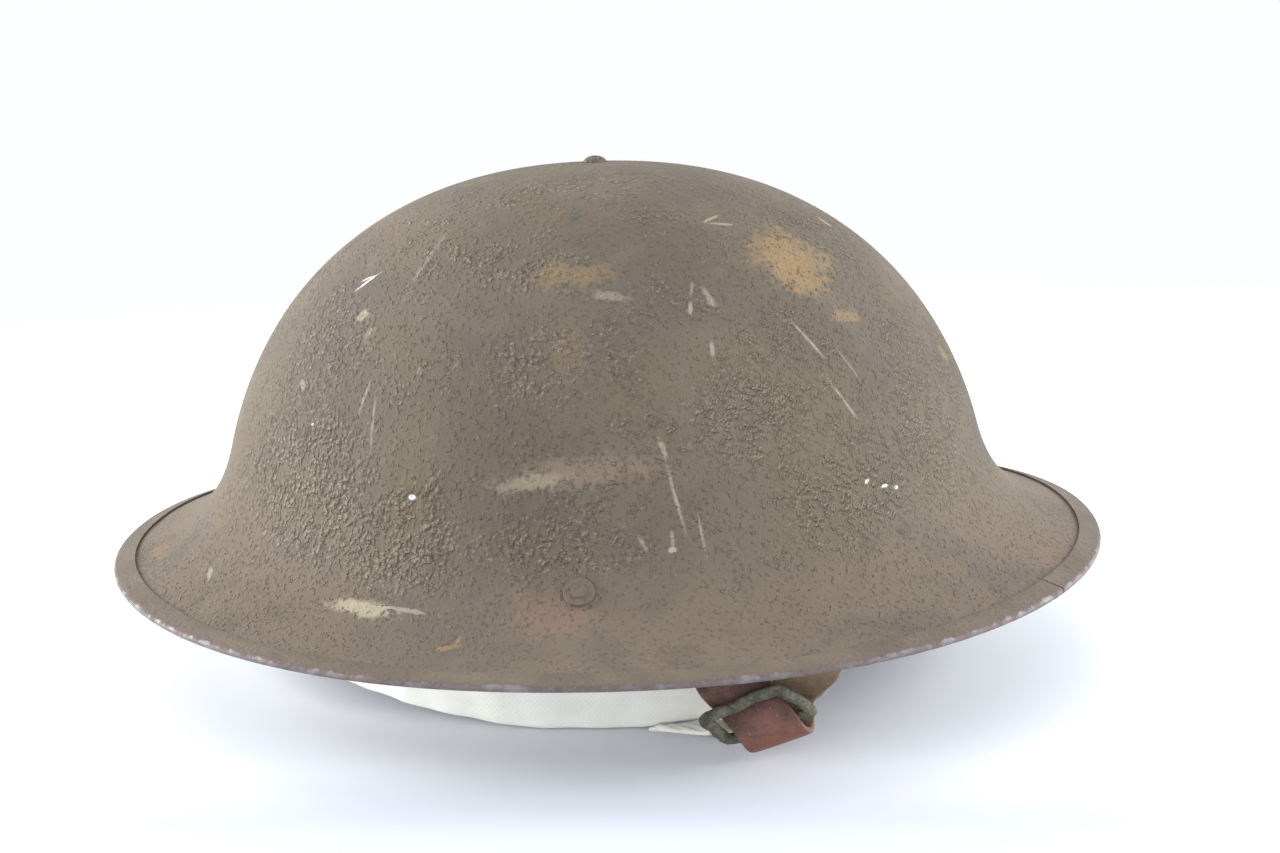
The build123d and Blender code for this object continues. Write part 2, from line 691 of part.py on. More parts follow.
def roll_place(angle):
    """Place in the middle of the rolled leather at an angle, with its ways across and along."""
    turned = radians(angle)
    out = roll_out * cos(turned) + roll_up * sin(turned)
    along = roll_out * sin(turned) - roll_up * cos(turned)
    slip = roll_slip * (roll_start - angle) / (roll_start - roll_end) - roll_shift
    return roll_centre + out * roll_radius + bar_along * slip, bar_along, along


rolled = [roll_place(roll_start + (roll_end - roll_start) * step / 9) for step in range(10)]
near_places = run(strap_down, (eye_end, lug_across, bail_down), rolled[0]) + rolled[1:-1]
near_places += run(strap_up, rolled[-1], None)
near_ribbon = ribbon(near_places)
with BuildPart() as near_strap:
    add(strap_eye.part)
    add(near_ribbon)

with BuildPart() as near_strap_rivet:
    with BuildSketch(pin_plane):
        Circle(eye_pin / 2)
    extrude(amount=strap_thick + seat_gap, both=True)
    for side in (-1, 1):
        with BuildSketch(pin_plane.offset(side * (strap_thick + seat_gap))):
            Circle(eye_pin_head / 2)
        extrude(amount=side * small_head_rise)

# Far side: the same lug, loop and eye, and the strap's free half doubled back under the brim
fold_along = Vector(cos(radians(far_fold_turn)), sin(radians(far_fold_turn)), 0)
fold_out = Vector(sin(radians(far_fold_turn)), -cos(radians(far_fold_turn)), 0)
folded = fold(Vector(*far_fold_place), fold_out, fold_along, far_fold_radius)
far_places = run(far_out, (eye_end, lug_across, bail_down), folded[0]) + folded[1:-1]
far_places += run(far_back, folded[-1], None)
far_ribbon = ribbon(far_places)
with BuildPart() as far_half:
    add(strap_eye.part)
    add(far_ribbon)
with BuildPart() as far_bail_bracket:
    mirror(near_bail_bracket.part, about=Plane.XZ)
with BuildPart() as far_bail_rivet:
    mirror(near_bail_rivet.part, about=Plane.XZ)
with BuildPart() as far_bail:
    mirror(near_bail.part, about=Plane.XZ)
with BuildPart() as far_strap:
    mirror(far_half.part, about=Plane.XZ)
with BuildPart() as far_strap_rivet:
    mirror(near_strap_rivet.part, about=Plane.XZ)

pieces = {
    "shell": drilled_shell,
    "rim_strip": rim_strip,
    "crown_rivet": crown_rivet,
    "crown_washer": crown_washer,
    "crown_pad": crown_pad,
    "hanger_strap_long": drilled_long,
    "hanger_strap_cross": drilled_cross,
    "hanger_rivets": hanger_rivets,
    "liner_hoop": drilled_hoop,
    "rubber_spacers": rubber_spacers,
    "spacer_rivets": spacer_rivets,
    "headband": headband,
    "liner_tongues": liner_tongues,
    "draw_lace": draw_lace,
    "crown_net": crown_net,
    "wadding_band": wadding_band,
    "wadding_flap": wadding_flap,
    "near_bail_bracket": near_bail_bracket,
    "near_bail_rivet": near_bail_rivet,
    "near_bail": near_bail,
    "near_strap": near_strap,
    "near_strap_rivet": near_strap_rivet,
    "slide_buckle": slide_buckle,
    "far_bail_bracket": far_bail_bracket,
    "far_bail_rivet": far_bail_rivet,
    "far_bail": far_bail,
    "far_strap": far_strap,
    "far_strap_rivet": far_strap_rivet,
}
os.makedirs("parts", exist_ok=True)
for name, piece in pieces.items():
    piece.part.label = name
    export_step(piece.part, f"parts/{name}.step")

print("bail pivot", bail_pivot, "strap pivot", strap_pivot, "across", lug_across)
print("rivet", rivet_point, "out", rivet_out)
print("buckle bar", corners[3], "along", bar_along)
print("net level", net_top - net_thick, "tongue hole", hole_edge)
print("hoop", hoop_length, hoop_width, hoop_base, hoop_top, "band inside", tongue_length, tongue_width)
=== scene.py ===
import logging
import math
from dataclasses import dataclass, field
from enum import Enum
from typing import Any

import bpy
import numpy as np
from mathutils import Matrix, Vector


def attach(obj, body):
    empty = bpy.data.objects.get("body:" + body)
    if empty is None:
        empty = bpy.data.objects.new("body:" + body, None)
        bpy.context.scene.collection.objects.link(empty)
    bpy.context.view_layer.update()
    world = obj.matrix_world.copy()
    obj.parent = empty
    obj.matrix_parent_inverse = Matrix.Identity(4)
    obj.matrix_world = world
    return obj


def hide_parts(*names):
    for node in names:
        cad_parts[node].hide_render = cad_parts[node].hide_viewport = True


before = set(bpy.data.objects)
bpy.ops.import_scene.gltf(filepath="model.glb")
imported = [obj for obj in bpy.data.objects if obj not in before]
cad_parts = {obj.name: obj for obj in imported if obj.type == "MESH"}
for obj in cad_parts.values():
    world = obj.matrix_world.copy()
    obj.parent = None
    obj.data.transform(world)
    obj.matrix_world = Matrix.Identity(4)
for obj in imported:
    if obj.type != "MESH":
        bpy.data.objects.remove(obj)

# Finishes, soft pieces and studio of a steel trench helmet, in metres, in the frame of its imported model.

log = logging.getLogger("helmet")
MM = 0.001
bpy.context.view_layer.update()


def tone(red: float, green: float, blue: float) -> tuple[float, float, float, float]:
    """Turns a colour of 0 to 255 into the linear values that a shader takes.

    Args:
        red: Red, as a screen shows it.
        green: Green.
        blue: Blue.

    Returns:
        Linear red, green, blue and an alpha of 1.
    """
    shown = np.array([red, green, blue]) / 255.0
    linear = np.where(shown <= 0.04045, shown / 12.92, ((shown + 0.055) / 1.055) ** 2.4)
    return (float(linear[0]), float(linear[1]), float(linear[2]), 1.0)


class Value:
    """A shader output that sums can be written with."""

    def __init__(self, graph: "Graph", socket: bpy.types.NodeSocket) -> None:
        """Wraps a socket.

        Args:
            graph: The graph that the socket belongs to.
            socket: The output socket.
        """
        self.graph = graph
        self.socket = socket

    def _sum(self, operation: str, other: Any, swap: bool = False) -> "Value":
        """Adds a Math node on this value and another.

        Args:
            operation: The Math node's operation.
            other: A value or a number.
            swap: Whether the other one comes first.

        Returns:
            The node's result.
        """
        first, second = (other, self) if swap else (self, other)
        return self.graph.value("ShaderNodeMath", {"operation": operation}, {0: first, 1: second})

    def __add__(self, other: Any) -> "Value":
        """Adds."""
        return self._sum("ADD", other)

    __radd__ = __add__

    def __sub__(self, other: Any) -> "Value":
        """Subtracts."""
        return self._sum("SUBTRACT", other)

    def __rsub__(self, other: Any) -> "Value":
        """Subtracts this from a number."""
        return self._sum("SUBTRACT", other, swap=True)

    def __mul__(self, other: Any) -> "Value":
        """Multiplies."""
        return self._sum("MULTIPLY", other)

    __rmul__ = __mul__

    def most(self, other: Any) -> "Value":
        """The larger of this and another."""
        return self._sum("MAXIMUM", other)

    def least(self, other: Any) -> "Value":
        """The smaller of this and another."""
        return self._sum("MINIMUM", other)

    def wave(self) -> "Value":
        """The sine of this."""
        return self._sum("SINE", 0.0)

    def size(self) -> "Value":
        """This without its sign."""
        return self._sum("ABSOLUTE", 0.0)


class Graph:
    """The nodes of a material or a world, made from one place."""

    def __init__(self, owner: Any, place: str = "Object") -> None:
        """Starts with empty nodes.

        Args:
            owner: The material or world.
            place: Which texture coordinate its patterns lie in.
        """
        owner.use_nodes = True
        self.owner = owner
        self.tree = owner.node_tree
        self.tree.nodes.clear()
        self.place = self.value("ShaderNodeTexCoord", {}, {}, place)

    def feed(self, socket: bpy.types.NodeSocket, given: Any) -> None:
        """Links a value to a socket, or sets the socket to a number or colour."""
        if isinstance(given, Value):
            self.tree.links.new(given.socket, socket)
        else:
            socket.default_value = given

    def add(self, kind: str, settings: dict[str, Any] | None = None,
            inputs: dict[Any, Any] | None = None) -> bpy.types.Node:
        """Makes any node.

        Args:
            kind: The node's type.
            settings: Its settings.
            inputs: Numbers, colours or values for its sockets, by name or number.

        Returns:
            The node.
        """
        node = self.tree.nodes.new(kind)
        for key, setting in (settings or {}).items():
            setattr(node, key, setting)
        for key, given in (inputs or {}).items():
            self.feed(node.inputs[key], given)
        return node

    def value(self, kind: str, settings: dict[str, Any] | None = None,
              inputs: dict[Any, Any] | None = None, output: Any = 0) -> Value:
        """Makes a node and gives one of its outputs.

        Args:
            kind: The node's type.
            settings: Its settings.
            inputs: What its sockets take.
            output: Which output, by name or number.

        Returns:
            That output.
        """
        return Value(self, self.add(kind, settings, inputs).outputs[output])

    def noise(self, scale: float, detail: float = 2.0, rough: float = 0.5, warp: float = 0.0,
              at: Value | None = None) -> Value:
        """Cloudy noise of 0 to 1, with features about one over scale in size."""
        return self.value("ShaderNodeTexNoise", {}, {"Vector": at or self.place, "Scale": scale, "Detail": detail,
                                                     "Roughness": rough, "Distortion": warp})

    def cells(self, scale: float, at: Value | None = None) -> Value:
        """Distance to the nearest of scattered points."""
        return self.value("ShaderNodeTexVoronoi", {}, {"Vector": at or self.place, "Scale": scale}, "Distance")

    def between(self, given: Value, low: float, high: float, start: float = 0.0, end: float = 1.0) -> Value:
        """Turns the run from low to high into a smooth step from start to end."""
        return self.value("ShaderNodeMapRange", {"interpolation_type": "SMOOTHSTEP"},
                          {0: given, 1: low, 2: high, 3: start, 4: end})

    def mix(self, share: Any, first: Any, second: Any) -> Value:
        """Mixes two colours by a share."""
        return self.value("ShaderNodeMix", {"data_type": "RGBA"}, {0: share, 6: first, 7: second}, 2)

    def mapped(self, at: Value | None = None, scale: tuple[float, float, float] = (1, 1, 1),
               move: tuple[float, float, float] = (0, 0, 0), turn: tuple[float, float, float] = (0, 0, 0),
               kind: str = "POINT") -> Value:
        """Moves, turns and stretches a place."""
        return self.value("ShaderNodeMapping", {"vector_type": kind},
                          {"Vector": at or self.place, "Location": move, "Rotation": turn, "Scale": scale})

    def part(self, axis: str) -> Value:
        """One coordinate of the place."""
        return self.value("ShaderNodeSeparateXYZ", {}, {0: self.place}, axis)

    def distance(self, spot: tuple[float, float, float]) -> Value:
        """How far the place is from a spot."""
        return self.value("ShaderNodeVectorMath", {"operation": "DISTANCE"}, {0: self.place, 1: spot}, "Value")

    def carried(self, name: str) -> Value:
        """A number that the mesh carries at its points."""
        return self.value("ShaderNodeAttribute", {"attribute_name": name}, {}, "Fac")

    def raised(self, height: Value, depth: float, strength: float) -> Value:
        """A bumped normal."""
        return self.value("ShaderNodeBump", {}, {"Height": height, "Distance": depth, "Strength": strength})

    def coats(self, colour: Value, *coats: tuple[Value, float, float, float, tuple[int, int, int]]) -> Value:
        """Lays colours over one another, each where a pattern runs from one bound to another.

        Args:
            colour: The colour under them.
            *coats: For each, its pattern, the two bounds, its share past the second bound, and its colour.

        Returns:
            The colour with all of them on it.
        """
        for pattern, low, high, share, shown in coats:
            colour = self.mix(self.between(pattern, low, high) * share, colour, tone(*shown))
        return colour


class Surface(Graph):
    """A material's nodes, which end in a principled surface."""

    def __init__(self, name: str) -> None:
        """Starts the material.

        Args:
            name: Its name.
        """
        super().__init__(bpy.data.materials.new(name))
        self.surface = self.add("ShaderNodeBsdfPrincipled")
        self.add("ShaderNodeOutputMaterial", {}, {0: Value(self, self.surface.outputs[0])})

    def dress(self, **sockets: Any) -> bpy.types.Material:
        """Sets the surface's sockets, with underscores for spaces in their names.

        Args:
            **sockets: Numbers, colours or values.

        Returns:
            The finished material.
        """
        for key, given in sockets.items():
            self.feed(self.surface.inputs[key.replace("_", " ")], given)
        return self.owner


class Cap(Enum):
    """How a grid's first and last rows are closed."""

    NONE = "none"
    FAN = "fan"
    STRIP = "strip"


@dataclass
class Patchwork:
    """Collects grids of points into one mesh.

    The faces of a grid join neighbours in both its directions, worked out as whole index arrays.
    """

    points: list[np.ndarray] = field(default_factory=list)
    quads: list[np.ndarray] = field(default_factory=list)
    fans: list[np.ndarray] = field(default_factory=list)
    carried: dict[str, list[np.ndarray]] = field(default_factory=dict)
    count: int = 0

    def grid(self, points: np.ndarray, round_first: bool = False, round_second: bool = False,
             caps: Cap = Cap.NONE, **carried: np.ndarray) -> None:
        """Adds a grid of points.

        Args:
            points: Points as (first, second, 3).
            round_first: Whether the last row joins the first.
            round_second: Whether the last column joins the first.
            caps: A fan from a row's middle, or a strip between the two halves of a thin bent row.
            **carried: Numbers at the points, as (first, second).
        """
        rows, columns = points.shape[:2]
        index = np.arange(rows * columns).reshape(rows, columns) + self.count
        down = np.roll(index, -1, 0) if round_first else index[1:]
        here = index if round_first else index[:-1]
        if not round_second:
            corners = (here[:, :-1], down[:, :-1], down[:, 1:], here[:, 1:])
        else:
            corners = (here, down, np.roll(down, -1, 1), np.roll(here, -1, 1))
        self.quads.append(np.stack(corners, -1).reshape(-1, 4))
        self.points.append(points.reshape(-1, 3))
        for key, numbers in carried.items():
            self.carried.setdefault(key, []).append(np.broadcast_to(numbers, (rows, columns)).reshape(-1))
        self.count += rows * columns
        for row, flip in ((0, False), (rows - 1, True)):
            ring = index[row]
            if caps is Cap.STRIP:
                near, far = ring[:columns // 2], ring[:columns // 2 - 1:-1]
                strip = np.stack([near[:-1], near[1:], far[1:], far[:-1]], -1)
                self.quads.append(strip[:, ::-1] if flip else strip)
            if caps is Cap.FAN:
                self.points.append(points[row].mean(0)[None])
                for key in carried:
                    self.carried[key].append(self.carried[key][-1 if row == 0 else -2][:1])
                fan = np.stack([np.full(columns, self.count), ring, np.roll(ring, -1)], -1)
                self.fans.append(fan[:, ::-1] if flip else fan)
                self.count += 1

    def build(self, name: str, sharp: float = 40.0) -> bpy.types.Object:
        """Makes the object, with its faces pointing outwards.

        Args:
            name: The object's name.
            sharp: Edges that turn more than this many degrees stay sharp.

        Returns:
            The object.
        """
        points = np.concatenate(self.points)
        quads = np.concatenate(self.quads)
        fans = np.concatenate(self.fans) if self.fans else np.zeros((0, 3), int)
        halves = np.concatenate([quads[:, [0, 1, 2]], quads[:, [0, 2, 3]], fans])
        a, b, c = (points[halves[:, corner]] for corner in range(3))
        if np.einsum("ij,ij->", a, np.cross(b, c)) < 0:
            quads, fans = quads[:, ::-1], fans[:, ::-1]
        mesh = bpy.data.meshes.new(name)
        mesh.from_pydata(points.tolist(), [], quads.tolist() + fans.tolist())
        for key, numbers in self.carried.items():
            layer = mesh.attributes.new(key, "FLOAT", "POINT")
            layer.data.foreach_set("value", np.concatenate(numbers).astype(np.float32))
        mesh.shade_smooth()
        mesh.set_sharp_from_angle(angle=math.radians(sharp))
        piece = bpy.data.objects.new(name, mesh)
        bpy.context.scene.collection.objects.link(piece)
        return piece


def full_turn(count: int) -> np.ndarray:
    """Angles once round, without the last."""
    return np.linspace(0, 2 * np.pi, count, endpoint=False)


def about(turn: np.ndarray, reach: np.ndarray, level: Any) -> np.ndarray:
    """Points round the upright axis: reach times cosine and sine of the turn, and the level."""
    return np.stack(np.broadcast_arrays(reach * np.cos(turn), reach * np.sin(turn), level), -1)


def oval_line(turn: np.ndarray, half_x: float, half_y: float) -> tuple[np.ndarray, np.ndarray]:
    """An oval's points, its halves times cosine and sine, and its ways out, cosine and sine over the halves."""
    spots = np.stack([half_x * np.cos(turn), half_y * np.sin(turn)], -1)
    return spots, unit(np.stack([np.cos(turn) / half_x, np.sin(turn) / half_y], -1))


def run_along(line: np.ndarray) -> np.ndarray:
    """Length of a line of points up to each of them."""
    return np.concatenate([[0], np.cumsum(np.linalg.norm(np.diff(line, axis=0), axis=1))])


def cubic(start: np.ndarray, first: np.ndarray, second: np.ndarray, end: np.ndarray,
          share: np.ndarray) -> tuple[np.ndarray, np.ndarray]:
    """Places on a cubic with two handles, and a third of its slope there.

    Args:
        start: Where it starts.
        first: The start's handle.
        second: The end's handle.
        end: Where it ends.
        share: How far along it, from 0 to 1.

    Returns:
        Places and slopes.
    """
    left = 1 - share
    place = start * left**3 + 3 * first * left**2 * share + 3 * second * left * share**2 + end * share**3
    slope = (first - start) * left**2 + 2 * (second - first) * left * share + (end - second) * share**2
    return place, slope


def rounded_section(width: float, thick: float, power: float, count: int) -> np.ndarray:
    """Points of a rounded rectangle: both halves times a power of cosine and sine that keeps their signs.

    Args:
        width: Whole width.
        thick: Whole thickness.
        power: 2 is an ellipse, more is squarer.
        count: How many points.

    Returns:
        Points as (count, 2).
    """
    turn = full_turn(count)
    cos, sin = np.cos(turn), np.sin(turn)
    return np.stack([np.sign(cos) * np.abs(cos) ** (2 / power) * width / 2,
                     np.sign(sin) * np.abs(sin) ** (2 / power) * thick / 2], -1)


def unit(vectors: np.ndarray) -> np.ndarray:
    """Vectors over their own lengths."""
    return vectors / np.linalg.norm(vectors, axis=-1, keepdims=True)


def carried_along(centres: np.ndarray, across: np.ndarray, out: np.ndarray, section: np.ndarray) -> np.ndarray:
    """A section set at each place of a path: centre plus across and out times the section's two numbers.

    Args:
        centres: Places as (n, 3).
        across: Ways across as (n, 3).
        out: Ways out as (n, 3).
        section: Points as (k, 2), or (n, k, 2) where it changes along the path.

    Returns:
        Points as (n, k, 3).
    """
    shape = np.broadcast_to(section, (len(centres),) + section.shape[-2:])
    return (centres[:, None] + across[:, None] * shape[..., :1] + out[:, None] * shape[..., 1:])


def ring_path(points: np.ndarray, up: np.ndarray) -> tuple[np.ndarray, np.ndarray]:
    """Ways across and out along a closed path, square to it and near an upward way.

    Args:
        points: Places as (n, 3).
        up: The way that out leans towards.

    Returns:
        Ways across and ways out, as (n, 3).
    """
    along = unit(np.roll(points, -1, 0) - np.roll(points, 1, 0))
    across = unit(np.cross(along, up))
    return across, np.cross(across, along)


def oval(turn: np.ndarray, half_x: float, half_y: float, power: float = 2.0) -> np.ndarray:
    """Reach of a rounded oval: one over the power's root of the summed powers of cosine and sine over its halves."""
    return (np.abs(np.cos(turn) / half_x) ** power + np.abs(np.sin(turn) / half_y) ** power) ** (-1 / power)


@dataclass(frozen=True)
class Mark:
    """A worn or stained place on the paint.

    Its place is degrees round from the front and a share of the way down: 0 to 1 on the bowl, 1 to 2 on the brim.
    Its half length and half width are in millimetres, and its tilt is in degrees from the way round.
    """

    turn: float
    down: float
    length: float
    width: float
    tilt: float
    colour: tuple[float, float, float, float]
    strength: float = 0.6
    ragged: float = 0.5
    gritty: float = 0.5


@dataclass
class Bowl:
    """The pressed steel's shape: a dome on a rounded oval, and a flare out to the brim's edge."""

    crown: float = 152.2 * MM
    rise: float = 123.7 * MM
    half_x: float = 122.6 * MM
    half_y: float = 108.0 * MM
    oval_power: float = 2.08
    dome_power: float = 2.26
    foot_share: float = 0.32
    brim_x: float = 155.0 * MM
    brim_y: float = 145.0 * MM
    brim_power: float = 2.15
    brim_level: float = 36.5 * MM
    droop: float = 7.2 * MM
    nose: float = 1.15 * MM
    steel: float = 0.9 * MM
    hole: float = 2.5 * MM
    slope: float = math.radians(14.0)
    fall_share: float = 0.63
    run_share: float = 0.60

    @property
    def foot(self) -> float:
        """Lean at which the dome ends and the flare starts."""
        return math.acos(self.foot_share ** (self.dome_power / 2))

    def dome(self, half: np.ndarray, top: float, rise: float, lean: np.ndarray,
             depth: float) -> tuple[np.ndarray, np.ndarray, np.ndarray, np.ndarray]:
        """Reach and level of a dome: half times a power of the lean's sine, and rise times one of its cosine.

        Args:
            half: Reach at the dome's foot.
            top: Level of its crown.
            rise: Height from foot to crown.
            lean: Angle down from the crown.
            depth: How far under the surface, square to it.

        Returns:
            Reach, level, and the outward way's reach and level.
        """
        power = self.dome_power
        across = np.sin(lean) ** (2 / power)
        up = np.cos(lean) ** (2 / power)
        out_r, out_z = across ** (power - 1) / half, up ** (power - 1) / rise
        size = np.hypot(out_r, out_z)
        out_r, out_z = out_r / size, out_z / size
        return half * across - out_r * depth, top - rise + rise * up - out_z * depth, out_r, out_z

    def skin(self, turn: np.ndarray, down: np.ndarray, depth: float = 0.0) -> tuple[np.ndarray, np.ndarray]:
        """Points and outward ways of the steel: the dome down to its foot, then a cubic from foot to edge.

        Args:
            turn: Radians round from the front.
            down: 0 at the crown, 1 at the dome's foot, 2 at the edge.
            depth: How far under the outer face.

        Returns:
            Points and outward ways, as (..., 3).
        """
        turn, down = np.broadcast_arrays(turn, down)
        half = oval(turn, self.half_x, self.half_y, self.oval_power)
        dome_r, dome_z, dome_or, dome_oz = self.dome(half, self.crown, self.rise,
                                                     np.minimum(down, 1) * self.foot, depth)
        start_r, start_z, out_r, out_z = self.dome(half, self.crown, self.rise,
                                                   np.full_like(down, self.foot), 0.0)
        end_r = oval(turn, self.brim_x - self.nose, self.brim_y - self.nose, self.brim_power)
        end_z = self.brim_level - self.droop * (end_r * np.sin(turn) / self.brim_y) ** 2
        fall = self.fall_share * (start_z - end_z)
        run = self.run_share * (end_r - start_r)
        first_r, first_z = start_r + out_z * fall, start_z - out_r * fall
        second_r, second_z = end_r - math.cos(self.slope) * run, end_z + math.sin(self.slope) * run
        share = np.clip(down - 1, 0, 1)
        r, way_r = cubic(start_r, first_r, second_r, end_r, share)
        z, way_z = cubic(start_z, first_z, second_z, end_z, share)
        size = np.hypot(way_r, way_z)
        out_r, out_z = -way_z / size, way_r / size
        flare = down > 1
        reach = np.where(flare, r - out_r * depth, dome_r)
        level = np.where(flare, z - out_z * depth, dome_z)
        out_reach, out_level = np.where(flare, out_r, dome_or), np.where(flare, out_z, dome_oz)
        return about(turn, reach, level), about(turn, out_reach, out_level)

    def frame_at(self, mark: Mark) -> tuple[Vector, Matrix]:
        """A mark's place on the steel, and its own axes: along it, across it and out.

        Args:
            mark: The mark.

        Returns:
            Its place and its axes as a rotation.
        """
        turn = np.array(math.radians(mark.turn))
        place, out = self.skin(turn, np.array(mark.down))
        around = np.array([-math.sin(turn), math.cos(turn), 0.0])
        up = np.cross(out, around)
        lean = math.radians(mark.tilt)
        along = around * math.cos(lean) + up * math.sin(lean)
        across = np.cross(out, along)
        return Vector(place), Matrix((along, across, out)).transposed()

    def build(self) -> bpy.types.Object:
        """Makes the shell: one grid round the axis and along its outer face, its edge and its inner face.

        Returns:
            The shell's object.
        """
        turn = full_turn(300)[:, None]
        top = math.asin((self.hole / self.half_y) ** (self.dome_power / 2)) / self.foot
        outer = np.concatenate([np.linspace(top, 1, 70, endpoint=False), np.linspace(1, 2, 62)])[None]
        inner = np.concatenate([np.linspace(2, 1, 32, endpoint=False), np.linspace(1, top, 40)])[None]
        face = self.skin(turn, outer)[0]
        back = self.skin(turn, inner, self.steel)[0]
        work = Patchwork()
        work.grid(np.concatenate([face, back], 1), True, True,
                  down=np.concatenate([outer, inner], 1), inside=np.concatenate([outer * 0, inner * 0 + 1], 1))
        return work.build("shell_skin")


PALE = tone(172, 166, 155)
CREAM = tone(168, 157, 134)
OCHRE = tone(143, 119, 83)
RUST = tone(172, 101, 51)
ROSE = tone(123, 99, 87)
WHITE = tone(209, 209, 208)
TEAL = tone(67, 72, 67)
DUST = tone(144, 135, 123)
SMEAR = tone(128, 112, 97)


